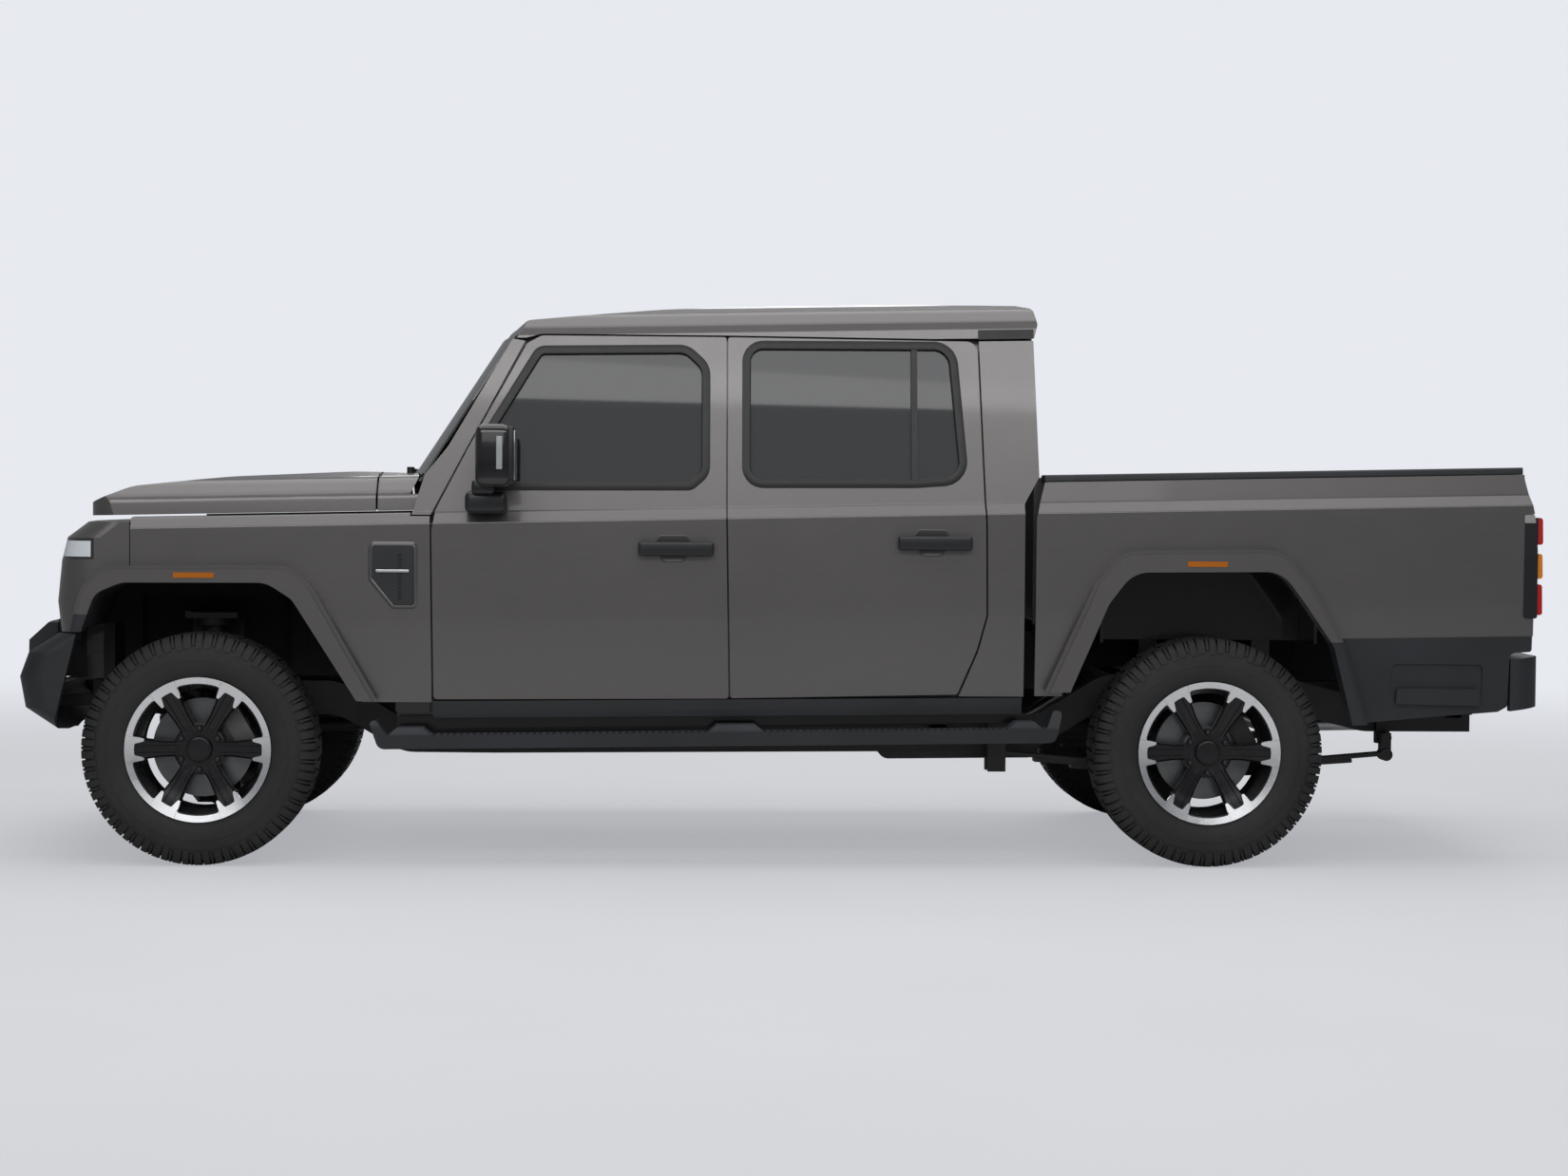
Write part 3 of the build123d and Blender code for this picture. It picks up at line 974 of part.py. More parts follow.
def build():
    tyre, rim, disc = wheel_parts()
    corners = [("front_left", FRONT_AXLE_X, -1), ("front_right", FRONT_AXLE_X, 1), ("rear_left", REAR_AXLE_X, -1),
               ("rear_right", REAR_AXLE_X, 1)]
    for name, x, way in corners:
        for kind, shape in [("tyre", [tyre]), ("rim", [rim, disc])]:
            placed = [s if way < 0 else mirrored(s) for s in solids_of(shape)]
            keep(f"{kind}_{name}", [s.moved(Location((x, way * WHEEL_Y, TYRE_R))) for s in placed])
    left_knuckle = knuckle()
    keep("knuckle_left", left_knuckle)
    keep("knuckle_right", mirrored(left_knuckle))
    keep("chassis_frame", frame(), hitch())
    keep("engine", engine())
    keep("driveline", driveline())
    keep("rear_axle", rear_axle())
    keep("leaf_springs", both(leaf_spring()))
    keep("front_suspension", [both(s) for s in front_suspension()])
    keep("exhaust", exhaust())
    keep("fuel_tank", fuel_tank())
    keep("cab_body", cab_body())
    keep("roof_panel", roof_panel())
    keep("cab_glass", windscreen(), rear_window())
    doors = [("front", FRONT_DOOR, FRONT_WINDOW, (-503, -247, 1083)), ("rear", REAR_DOOR, REAR_WINDOW, (379, 632, 1108))]
    for place, outline, window, handle in doors:
        for side, turn in [("left", lambda s: s), ("right", mirrored)]:
            keep(f"door_{place}_{side}", turn(door(outline, window)))
            keep(f"door_glass_{place}_{side}", turn(door_glass(window)))
            keep(f"door_handle_{place}_{side}", turn(door_handle(*handle)))
    keep("mirror_left", mirror_unit())
    keep("mirror_right", mirrored(mirror_unit()))
    keep("hood", hood())
    side, panel = cowl()
    keep("front_fenders", both(front_fender()), both(side))
    keep("cowl_panel", panel)
    keep("wipers", wipers())
    keep("front_fascia", fascia())
    keep("grille", grille())
    keep("headlamps", both(headlamp()))
    keep("radiator_support", radiator_support())
    keep("front_bumper", fused(front_bumper(), *both(bumper_bracket())))
    keep("bumper_insert", bumper_insert())
    front_cuts = [(-2500, -2250, 850), (-1500, -1300, 563)]
    rear_cuts = [(800, 1000, 603), (1750, 2100, 778)]
    keep("arch_flares", both(flare(FRONT_FLARE, FRONT_ARCH, front_cuts)), both(flare(REAR_FLARE, REAR_ARCH, rear_cuts)))
    ends = [flare_end(FRONT_FLARE, FRONT_ARCH, -2500, -2250, 793, 849.7),
            flare_end(REAR_FLARE, REAR_ARCH, 1750, 2100, 495, 777.7)]
    keep("lower_cladding", both(ends), both(sill_cladding()), both(rear_cladding()))
    keep("front_wheel_liners", both(front_liner()))
    keep("bed_box", fused(bed_box(), *bed_sills()))
    keep("bed_rail_caps", both(rail_cap()))
    keep("tailgate", tailgate())
    keep("tail_lamps", both(tail_lamp()))
    keep("rear_bumper", rear_bumper())
    keep("side_steps", both(side_step()))
    keep("side_markers", both(side_marker(-2058, -1922, 984)), both(side_marker(1365, 1502, 1043)))
    keep("fender_vents", both(fender_vent()))
    keep("dashboard", dashboard())
    keep("steering_wheel", steering_wheel())
    keep("front_seats", both(seat(-640, -150, -830)))
    keep("rear_bench", rear_bench())


build()
os.makedirs("parts", exist_ok=True)
for name, solids in PARTS.items():
    export_step(Compound(children=solids), f"parts/{name}.step")
    print(name, len(solids))
print(len(PARTS), "nodes")
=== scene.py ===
# %% [markdown]
# # A four-door pickup truck, dressed in Blender
# The solids of the truck come from its construction model and never move. This file gives them paint, plastic, glass
# and rubber, and adds what is too fine for the solids: tread, wheel faces, nuts, window seals, mirrors and seat pads.
# One unit is a metre. The front faces -X, the left side faces -Y and the ground is at z = 0.

# %% Load the frame
import bpy
import bmesh
from math import cos, pi, radians, sin
from mathutils import Matrix, Vector


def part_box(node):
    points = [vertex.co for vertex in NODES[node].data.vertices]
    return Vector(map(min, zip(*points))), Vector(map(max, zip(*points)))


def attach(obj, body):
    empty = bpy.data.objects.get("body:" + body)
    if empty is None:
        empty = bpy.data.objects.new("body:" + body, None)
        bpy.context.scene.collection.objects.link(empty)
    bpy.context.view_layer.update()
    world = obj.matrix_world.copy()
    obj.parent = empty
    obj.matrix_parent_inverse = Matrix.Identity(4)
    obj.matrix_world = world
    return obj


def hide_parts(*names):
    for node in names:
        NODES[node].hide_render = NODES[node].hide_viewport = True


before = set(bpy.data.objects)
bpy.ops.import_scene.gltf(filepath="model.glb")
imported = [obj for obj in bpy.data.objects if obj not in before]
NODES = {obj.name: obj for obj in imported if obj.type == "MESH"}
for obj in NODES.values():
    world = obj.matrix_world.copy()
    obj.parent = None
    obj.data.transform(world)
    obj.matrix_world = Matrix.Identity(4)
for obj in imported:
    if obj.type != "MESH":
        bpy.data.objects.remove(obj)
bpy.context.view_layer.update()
RAKE = 0.0236
FRONT_AXLE_X = -1.9805
REAR_AXLE_X = 1.4545
WHEEL_Y = 0.788
TYRE_R = 0.394
SIDES = {"left": -1, "right": 1}
BODY = "chassis_and_cab"


def new_object(name, data):
    """An object for some data, linked to the scene."""
    thing = bpy.data.objects.new(name, data)
    bpy.context.scene.collection.objects.link(thing)
    return thing


# %% [markdown]
# ## Camera
# The camera stands about ten metres off the left side at chest height, so the lines of the body run towards the same
# vanishing points as in the photograph. Its small yaw, pitch and roll are turned into three axes, which are the
# columns of the camera's matrix.

# %% Camera
CAMERA_AT = Vector((-0.473, -10.748, 1.255))
YAW, PITCH, ROLL = radians(2.704), radians(1.761), radians(0.437)
ahead = Vector((sin(YAW) * cos(PITCH), cos(YAW) * cos(PITCH), -sin(PITCH)))
level_right = ahead.cross(Vector((0, 0, 1))).normalized()
level_up = level_right.cross(ahead)
right = level_right * cos(ROLL) + level_up * sin(ROLL)
up = level_up * cos(ROLL) - level_right * sin(ROLL)
lens = bpy.data.cameras.new("photo_camera")
lens.lens = 66.7
lens.clip_end = 200
camera = new_object("photo_camera", lens)
camera.matrix_world = Matrix((right, up, -ahead)).transposed().to_4x4()
camera.location = CAMERA_AT
bpy.context.scene.camera = camera
print("camera at", tuple(CAMERA_AT), "lens", lens.lens)

# %% [markdown]
# ## Node helpers
# Every finish below is a small tree of shader nodes. These helpers add a node and join sockets by name, so that each
# material cell reads like a recipe.

# %% Node helpers
def new_tree(name):
    """An empty material; returns it, its nodes, its Principled shader and the object's coordinates."""
    material = bpy.data.materials.new(name)
    material.use_nodes = True
    tree = material.node_tree
    coords = tree.nodes.new("ShaderNodeTexCoord").outputs["Object"]
    return material, tree, tree.nodes["Principled BSDF"], coords


def add(tree, kind, inputs=None, **settings):
    """One node with its settings, its input values and the sockets that feed it."""
    node = tree.nodes.new(kind)
    for key, value in settings.items():
        setattr(node, key, value)
    for key, value in (inputs or {}).items():
        if isinstance(value, bpy.types.NodeSocket):
            tree.links.new(value, node.inputs[key])
        else:
            node.inputs[key].default_value = value
    return node


def give(shader, **values):
    """Plain values for a shader's inputs, with _ for each space in a name."""
    for key, value in values.items():
        shader.inputs[key.replace("_", " ")].default_value = value


def ramp(tree, factor, stops):
    """Colour ramp through (position, grey or colour) stops."""
    node = add(tree, "ShaderNodeValToRGB", {"Fac": factor})
    points = node.color_ramp.elements
    while len(points) < len(stops):
        points.new(0.5)
    for point, (place, colour) in zip(points, stops):
        point.position = place
        point.color = (*colour, 1) if isinstance(colour, tuple) else (colour, colour, colour, 1)
    return node.outputs["Color"]


def noise(tree, coords, scale, detail=2.0, roughness=0.5):
    values = {"Vector": coords, "Scale": scale, "Detail": detail, "Roughness": roughness}
    return add(tree, "ShaderNodeTexNoise", values).outputs["Fac"]


def calculate(tree, operation, first, second=0.0):
    """One Math node on numbers or sockets."""
    return add(tree, "ShaderNodeMath", {0: first, 1: second}, operation=operation).outputs[0]


def mixed(tree, factor, first, second, mode="MIX"):
    """Mix of two colours or colour sockets."""
    values = {"Factor": factor}
    for key, value in ((6, first), (7, second)):
        values[key] = (*value, 1) if isinstance(value, tuple) else value
    return add(tree, "ShaderNodeMix", values, data_type="RGBA", blend_type=mode).outputs[2]


def vary_roughness(tree, shader, pattern, low, high):
    """Roughness that follows a pattern between two values."""
    spread = add(tree, "ShaderNodeMapRange", {"Value": pattern, 3: low, 4: high})
    tree.links.new(spread.outputs[0], shader.inputs["Roughness"])


def vary_colour(tree, shader, colour, pattern, stops):
    """The base colour, made darker or paler by a pattern."""
    tone = ramp(tree, pattern, stops)
    tree.links.new(mixed(tree, 1.0, colour, tone, "MULTIPLY"), shader.inputs["Base Color"])


def bump(tree, shader, height, strength, distance):
    """Bump from a height socket, onto the shader's normal."""
    node = add(tree, "ShaderNodeBump", {"Height": height, "Strength": strength, "Distance": distance})
    tree.links.new(node.outputs["Normal"], shader.inputs["Normal"])


# %% [markdown]
# ## Painted metal
# The paint is a warm mid grey with metal flakes under a clear coat. The flakes show as a fine sparkle, which a very
# fine Voronoi texture gives. The coat is a second, sharper gloss over a rougher base, so it mirrors the lamp while the
# colour under it stays soft. The underseal on the load bed and the black of the sills are masks: they ask where
# a point lies, and whether its surface turns towards the wheel.

# %% Masks by place
def inside(tree, coords, **ranges):
    """1 where the point lies within every range of x, y or z, with y counted outwards; 0 elsewhere."""
    x, y, z = add(tree, "ShaderNodeSeparateXYZ", {0: coords}).outputs
    reach = {"x": x, "y": calculate(tree, "ABSOLUTE", y), "z": z}
    factor = 1.0
    for axis, (low, high) in ranges.items():
        above = calculate(tree, "GREATER_THAN", reach[axis], low)
        below = calculate(tree, "LESS_THAN", reach[axis], high)
        factor = calculate(tree, "MULTIPLY", factor, calculate(tree, "MULTIPLY", above, below))
    return factor


AXLE_END_Y = 0.95


def faces_wheel(tree, coords, height):
    """1 where the surface turns towards its own end of the rear axle, as the inside of a wheelhouse does."""
    y = add(tree, "ShaderNodeSeparateXYZ", {0: coords}).outputs[1]
    end_y = calculate(tree, "MULTIPLY", calculate(tree, "SIGN", y), AXLE_END_Y)
    end = add(tree, "ShaderNodeCombineXYZ", {0: REAR_AXLE_X, 1: end_y, 2: height})
    way_out = add(tree, "ShaderNodeVectorMath", {0: coords, 1: end.outputs[0]}, operation="SUBTRACT")
    normal = add(tree, "ShaderNodeNewGeometry").outputs["Normal"]
    lean = add(tree, "ShaderNodeVectorMath", {0: normal, 1: way_out.outputs[0]}, operation="DOT_PRODUCT")
    return calculate(tree, "LESS_THAN", lean.outputs["Value"], 0.0)


print("masks ready")

# %% Painted metal
GREY = (0.128, 0.121, 0.119)
UNDERSEAL = (0.006, 0.006, 0.006)
SILL_BLACK = (0.01, 0.01, 0.011)
WHEELHOUSE = {"x": (1.06, 1.85), "y": (0.59, 0.8625), "z": (0.6, 1.06)}
BED_BELLY = {"y": (-1.0, 0.862), "z": (0.4, 0.828)}
HOUSE_CENTRE_Z = 0.5


def paint(name, colour, dirt=0.06, undersealed=False, sill_z=0.0):
    material, tree, shader, coords = new_tree(name)
    flakes = add(tree, "ShaderNodeTexVoronoi", {"Vector": coords, "Scale": 2600.0})
    sparkle = ramp(tree, flakes.outputs["Color"], [(0.2, 0.82), (0.8, 1.2)])
    cloud = ramp(tree, noise(tree, coords, 1.3, 3), [(0.3, 1 - dirt), (0.7, 1.0)])
    shown = mixed(tree, 1.0, mixed(tree, 1.0, colour, sparkle, "MULTIPLY"), cloud, "MULTIPLY")
    if undersealed:
        house = inside(tree, coords, **WHEELHOUSE)
        tub = calculate(tree, "MULTIPLY", house, faces_wheel(tree, coords, HOUSE_CENTRE_Z))
        belly = inside(tree, coords, **BED_BELLY)
        shown = mixed(tree, calculate(tree, "MAXIMUM", tub, belly), shown, UNDERSEAL)
    if sill_z:
        shown = mixed(tree, inside(tree, coords, z=(0.0, sill_z)), shown, SILL_BLACK)
    tree.links.new(shown, shader.inputs["Base Color"])
    vary_roughness(tree, shader, noise(tree, coords, 9.0, 4), 0.34, 0.42)
    give(shader, Metallic=0.62, Coat_Weight=0.7, Coat_Roughness=0.06)
    bump(tree, shader, noise(tree, coords, 420.0, 1), 0.03, 0.0005)
    return material


DOOR_BOTTOM_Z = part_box("door_front_left")[0][2]
PAINT = paint("warm_grey_metallic_paint", GREY)
BED_PAINT = paint("grey_paint_with_underseal", GREY, undersealed=True)
CAB_PAINT = paint("grey_paint_with_black_sill", GREY, sill_z=DOOR_BOTTOM_Z + 0.004)
print("made", PAINT.name, BED_PAINT.name, CAB_PAINT.name)

# %% [markdown]
# ## Moulded plastic
# Bumpers, steps and arch ends are blow-moulded in black with a leather-like grain, so small cells of a Voronoi texture
# lift the surface, and a slow noise turns the black slightly grey where it has weathered. Handles, mirrors and lamp
# housings use the same recipe with the grain turned down and more gloss.

# %% Moulded plastic
def plastic(name, colour, roughness, grain=0.35, scale=520.0, weather=0.25, coat=0.0):
    material, tree, shader, coords = new_tree(name)
    stops = [(0.3, 1.0 - weather), (0.75, 1.0 + weather)]
    vary_colour(tree, shader, colour, noise(tree, coords, 3.5, 4), stops)
    vary_roughness(tree, shader, noise(tree, coords, 40.0, 3), roughness - 0.05, roughness + 0.07)
    if coat:
        give(shader, Coat_Weight=coat, Coat_Roughness=0.05)
    cells = add(tree, "ShaderNodeTexVoronoi", {"Vector": coords, "Scale": scale}, feature="DISTANCE_TO_EDGE")
    bump(tree, shader, cells.outputs["Distance"], grain, 0.0006)
    return material


GRAINED = plastic("grained_black_plastic", (0.016, 0.018, 0.022), 0.5)
GLOSS = plastic("gloss_black_plastic", (0.008, 0.008, 0.01), 0.14, grain=0.02, weather=0.1, coat=0.6)
SATIN = plastic("satin_black_handle", (0.012, 0.013, 0.015), 0.32, grain=0.08, weather=0.12)
SEAL = plastic("window_seal_rubber", (0.01, 0.01, 0.011), 0.42, grain=0.1, weather=0.15)
# Liner black: the felt is black, and its colour is darkened further as painted shade for the inside of the arches.
LINER_AND_SHADE_BLACK = plastic("wheelhouse_liner_felt", (0.004, 0.004, 0.005), 0.85, grain=0.6, scale=260.0)
DASH = plastic("dashboard_soft_plastic", (0.02, 0.02, 0.022), 0.55, grain=0.4, scale=380.0)
TANK = plastic("tank_polyethylene", (0.022, 0.022, 0.024), 0.5, grain=0.2, scale=120.0)
print("plastics", 7)

# %% [markdown]
# ## Metal underneath
# Frame rails and axles are sprayed in chassis black, castings keep a sandy skin, and machined parts are bright with a
# few dull patches. One recipe serves them all: a slow noise stains the colour and a fast one roughens the surface.

# %% Metal underneath
def metal(name, colour, roughness, metallic=1.0, grit=40.0, lift=0.15, stain=0.3):
    material, tree, shader, coords = new_tree(name)
    vary_colour(tree, shader, colour, noise(tree, coords, 7.0, 5), [(0.3, 1.0 - stain), (0.7, 1.0)])
    give(shader, Metallic=metallic)
    vary_roughness(tree, shader, noise(tree, coords, grit, 4), roughness - 0.08, roughness + 0.1)
    bump(tree, shader, noise(tree, coords, grit * 6, 3), lift, 0.0008)
    return material


CHASSIS = metal("chassis_black", (0.022, 0.022, 0.024), 0.55, metallic=0.2)
CASTING = metal("sand_cast_iron", (0.18, 0.18, 0.18), 0.55, metallic=0.8, grit=60.0, lift=0.35)
STEEL = metal("bare_machined_steel", (0.52, 0.53, 0.55), 0.3, lift=0.06)
RIM_BLACK = metal("rim_gloss_black_paint", (0.013, 0.013, 0.015), 0.26, metallic=0.3, grit=20.0, lift=0.03)
MACHINED = metal("rim_machined_face", (0.8, 0.81, 0.83), 0.24, grit=30.0, lift=0.03, stain=0.05)
print("metals", 5)

# %% [markdown]
# ## Glass and lamps
# Door glass is privacy-tinted: it lets a little light through and mirrors what is around it. Lenses are clear or
# coloured plastic with fine flutes. A whole lamp unit is one solid, so its lenses are zones of colour on a black
# housing.

# %% Glass and lamps
GLASS_IOR = 1.45


def glass(name, colour, roughness, transmission, flutes=0.0, smears=0.04):
    material, tree, shader, coords = new_tree(name)
    vary_colour(tree, shader, colour, noise(tree, coords, 2.0, 3), [(0.3, 0.92), (0.7, 1.0)])
    vary_roughness(tree, shader, noise(tree, coords, 5.0, 5), roughness, roughness + smears)
    give(shader, Transmission_Weight=transmission, IOR=GLASS_IOR)
    if flutes:
        wave = add(tree, "ShaderNodeTexWave", {"Vector": coords, "Scale": flutes}, bands_direction="X")
        bump(tree, shader, wave.outputs["Fac"], 0.4, 0.001)
    return material


TINTED = glass("privacy_tinted_glass", (0.02, 0.023, 0.027), 0.02, 0.3, smears=0.01)
CLEAR_LENS = glass("clear_lamp_lens", (0.86, 0.9, 0.93), 0.04, 0.6, flutes=60.0)
AMBER_LENS = glass("amber_lamp_lens", (0.62, 0.19, 0.015), 0.12, 0.25, flutes=90.0)


def lamp_plastic(name, zones, housing=(0.01, 0.01, 0.012)):
    """A lamp unit in one moulding: a black housing with coloured lenses where each zone says."""
    material, tree, shader, coords = new_tree(name)
    shown = mixed(tree, noise(tree, coords, 30.0), housing, tuple(c * 1.3 for c in housing))
    for colour, ranges in zones:
        shown = mixed(tree, inside(tree, coords, **ranges), shown, colour)
    tree.links.new(shown, shader.inputs["Base Color"])
    give(shader, Roughness=0.16, Coat_Weight=0.8, Coat_Roughness=0.03)
    flutes = add(tree, "ShaderNodeTexWave", {"Vector": coords, "Scale": 60.0}, bands_direction="Y")
    bump(tree, shader, flutes.outputs["Fac"], 0.15, 0.0006)
    return material


REAR_LENS_X = (2.5885, 2.7)
FRONT_LENS = {"x": (-2.7, -2.341), "y": (0.602, 1.0), "z": (1.0425, 1.0955)}
red_zone = ((0.5, 0.01, 0.012), {"x": REAR_LENS_X})
amber_zone = ((0.75, 0.24, 0.02), {"x": REAR_LENS_X, "z": (0.995, 1.09)})
white_zone = ((0.72, 0.77, 0.8), FRONT_LENS)
TAIL_LAMP = lamp_plastic("tail_lamp_unit", [red_zone, amber_zone])
HEADLAMP = lamp_plastic("headlamp_unit", [white_zone], (0.02, 0.021, 0.024))
print("glasses and lamps", 5)

# %% [markdown]
# ## Tyre rubber and seat cloth
# Rubber is a dull, slightly brown black with dust in its pores. The seats are woven cloth: two crossed waves make warp
# and weft, and sheen makes the edges pale as on real fabric.

# %% Rubber and cloth
def cloth(name, colour, pitch=700.0):
    material, tree, shader, coords = new_tree(name)
    threads = {"Vector": coords, "Scale": pitch, "Distortion": 0.6}
    warp, weft = [add(tree, "ShaderNodeTexWave", threads, bands_direction=way).outputs["Fac"] for way in "XZ"]
    weave = calculate(tree, "MULTIPLY", warp, weft)
    vary_colour(tree, shader, colour, weave, [(0.0, 0.7), (1.0, 1.25)])
    give(shader, Roughness=0.9, Sheen_Weight=0.4)
    bump(tree, shader, weave, 0.5, 0.0006)
    return material


RUBBER = plastic("tyre_rubber", (0.017, 0.017, 0.018), 0.72, grain=0.3, scale=210.0, weather=0.35)
CLOTH = cloth("woven_seat_cloth", (0.045, 0.047, 0.052))
print("soft finishes", 2)

# %% [markdown]
# ## Finishes on the solids
# Each solid gets its finish by replacing what is in its material slots. The mesh itself is left alone.

# %% Finishes on the solids
def corners(stem):
    """Names of the four nodes that differ only in their corner of the truck."""
    return [f"{stem}_{end}_{side}" for end in ("front", "rear") for side in SIDES]


FINISHES = {
    BED_PAINT: ["bed_box"],
    CAB_PAINT: ["cab_body"],
    PAINT: ["roof_panel", "hood", "front_fenders", "cowl_panel", "front_fascia", "arch_flares", "tailgate",
            *corners("door")],
    GRAINED: ["front_bumper", "bumper_insert", "lower_cladding", "bed_rail_caps", "rear_bumper", "side_steps",
              "fender_vents"],
    GLOSS: ["mirror_left", "mirror_right", "grille"],
    SATIN: [*corners("door_handle"), "wipers"],
    LINER_AND_SHADE_BLACK: ["front_wheel_liners"],
    TINTED: ["cab_glass", *corners("door_glass")],
    CHASSIS: ["chassis_frame", "driveline", "leaf_springs", "front_suspension", "rear_axle", "radiator_support"],
    CASTING: ["engine", "knuckle_left", "knuckle_right"],
    STEEL: ["exhaust"],
    RIM_BLACK: corners("rim"),
    RUBBER: corners("tyre"),
    TANK: ["fuel_tank"],
    HEADLAMP: ["headlamps"],
    TAIL_LAMP: ["tail_lamps"],
    AMBER_LENS: ["side_markers"],
    DASH: ["dashboard", "steering_wheel"],
    CLOTH: ["front_seats", "rear_bench"],
}
for material, names in FINISHES.items():
    for name in names:
        for place in NODES[name].material_slots:
            place.material = material
finished = {name for names in FINISHES.values() for name in names}
print("without a finish:", sorted(set(NODES) - finished))

# %% [markdown]
# ## Mesh helpers
# Small builders that the pieces below share. `place_piece` wraps a finished mesh in an object and lets it ride on a
# body of the truck. `make_piece` turns points and faces into such a piece, with doubled points merged and its normals
# recalculated. `rounded_loop` walks round a polygon and replaces each corner by an arc, which is how a window
# opening is drawn.

# %% Pieces and their bodies
SHARP_ANGLE = radians(32)


def shade(mesh, angle=SHARP_ANGLE):
    """Smooth shading that breaks at sharp edges."""
    mesh.shade_smooth()
    mesh.set_sharp_from_angle(angle=angle)


def written(name, shape, material):
    """A mesh from a finished bmesh."""
    mesh = bpy.data.meshes.new(name)
    shape.to_mesh(mesh)
    shape.free()
    mesh.materials.append(material)
    return mesh


def place_piece(name, mesh, body):
    """An object for a mesh, riding on a body; with no body it is only a seed for an array."""
    piece = new_object(name, mesh)
    if body:
        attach(piece, body)
    return piece


def make_piece(name, points, faces, material, body, smooth=True, slot=None):
    mesh = bpy.data.meshes.new(name)
    mesh.from_pydata([tuple(p) for p in points], [], faces)
    work = bmesh.new()
    work.from_mesh(mesh)
    bmesh.ops.remove_doubles(work, verts=work.verts, dist=1e-6)
    bmesh.ops.recalc_face_normals(work, faces=work.faces)
    work.to_mesh(mesh)
    work.free()
    mesh.materials.append(material)
    if smooth:
        shade(mesh)
    return place_piece(name, mesh, body)


print("piece helpers ready")

# %% Outlines and rings
def rounded_loop(corners, steps=7):
    """Points round a polygon of (a, b, radius) corners, with an arc at each."""
    loop = []
    for i, (a, b, r) in enumerate(corners):
        here = Vector((a, b))
        before = (Vector(corners[i - 1][:2]) - here).normalized()
        after = (Vector(corners[(i + 1) % len(corners)][:2]) - here).normalized()
        if r == 0:
            loop.append(here)
            continue
        half = before.angle(after) / 2
        centre = here + (before + after).normalized() * (r / sin(half))
        start = here + before * (r * cos(half) / sin(half)) - centre
        end = here + after * (r * cos(half) / sin(half)) - centre
        for k in range(steps + 1):
            spoke = start.lerp(end, k / steps)
            loop.append(centre + spoke.normalized() * r)
    return loop


def offset_loop(loop, distance):
    """The loop moved outwards by a distance."""
    area = sum(loop[i - 1].cross(loop[i]) for i in range(len(loop)))
    way = 1 if area > 0 else -1
    moved = []
    for i, point in enumerate(loop):
        tangent = (loop[(i + 1) % len(loop)] - loop[i - 1]).normalized()
        moved.append(point + Vector((tangent.y, -tangent.x)) * distance * way)
    return moved


# Body side: height at x = 0, distance out
SIDE_STATIONS = [(0.54, 0.87), (0.86, 0.889), (1.191, 0.893), (1.228, 0.868), (1.827, 0.785)]


def skin_y(z, x):
    """How far out the body side is at a height, above and below the belt line."""
    level = z - RAKE * x
    for (z0, y0), (z1, y1) in zip(SIDE_STATIONS, SIDE_STATIONS[1:]):
        if level <= z1:
            return y0 + (y1 - y0) * (level - z0) / (z1 - z0)
    return SIDE_STATIONS[-1][1]


def ring_faces(rings, n, closed_section=True):
    """Quads between rings of n points each; the section closes on itself when asked."""
    faces = []
    last = rings if closed_section else rings - 1
    for j in range(last):
        for i in range(n):
            a, b = j * n + i, j * n + (i + 1) % n
            c, d = ((j + 1) % rings) * n + (i + 1) % n, ((j + 1) % rings) * n + i
            faces.append((a, b, c, d))
    return faces


def prism_faces(n):
    """Two ends of n points, one after the other, and the walls between them."""
    return [tuple(range(n)), tuple(range(n, 2 * n))] + [(i, (i + 1) % n, n + (i + 1) % n, n + i) for i in range(n)]


def closed_loft(rings, n):
    """Open rings of n points with a face over each end."""
    faces = ring_faces(rings, n, closed_section=False)
    return faces + [tuple(range(n)), tuple(range((rings - 1) * n, rings * n))]


print("mesh helpers ready")

# %% [markdown]
# ## Arrays with Geometry Nodes
# Tread lugs, wheel nuts and step studs repeat one shape along a rule. One tree turns copies about the wheel's axle,
# another sets copies in a row. Both end by making the copies real and giving them their finish, and the result is
# kept as a plain mesh.

# %% Array trees
ARRAY_INPUTS = {"Shape": "Geometry", "Count": "Int", "Step": "Vector", "Centre": "Vector", "Finish": "Material"}


def array_tree(name, build):
    """A Geometry Nodes tree with Shape, Count, Step, Centre and Finish inputs, filled in by `build`."""
    tree = bpy.data.node_groups.new(name, "GeometryNodeTree")
    for label, kind in ARRAY_INPUTS.items():
        tree.interface.new_socket(label, in_out="INPUT", socket_type="NodeSocket" + kind)
    tree.interface.new_socket("Geometry", in_out="OUTPUT", socket_type="NodeSocketGeometry")
    source = tree.nodes.new("NodeGroupInput").outputs
    copies = build(tree, source)
    real = add(tree, "GeometryNodeRealizeInstances", {"Geometry": copies})
    moved = add(tree, "GeometryNodeTransform", {"Geometry": real.outputs[0], "Translation": source["Centre"]})
    dressed = add(tree, "GeometryNodeSetMaterial", {"Geometry": moved.outputs[0], "Material": source["Finish"]})
    out = tree.nodes.new("NodeGroupOutput")
    tree.links.new(dressed.outputs[0], out.inputs[0])
    return tree


def points_with_index(tree, source):
    points = add(tree, "GeometryNodePoints", {"Count": source["Count"]})
    index = tree.nodes.new("GeometryNodeInputIndex")
    step = add(tree, "ShaderNodeVectorMath", {0: source["Step"], 1: index.outputs[0]}, operation="MULTIPLY")
    return points, step


def turned_copies(tree, source):
    points, step = points_with_index(tree, source)
    inputs = {"Points": points.outputs[0], "Instance": source["Shape"], "Rotation": step.outputs[0]}
    return add(tree, "GeometryNodeInstanceOnPoints", inputs).outputs[0]


def row_copies(tree, source):
    points, step = points_with_index(tree, source)
    spread = add(tree, "GeometryNodeSetPosition", {"Geometry": points.outputs[0], "Position": step.outputs[0]})
    inputs = {"Points": spread.outputs[0], "Instance": source["Shape"]}
    return add(tree, "GeometryNodeInstanceOnPoints", inputs).outputs[0]


TURNED = array_tree("copies_about_the_axle", turned_copies)
ROW = array_tree("copies_in_a_row", row_copies)


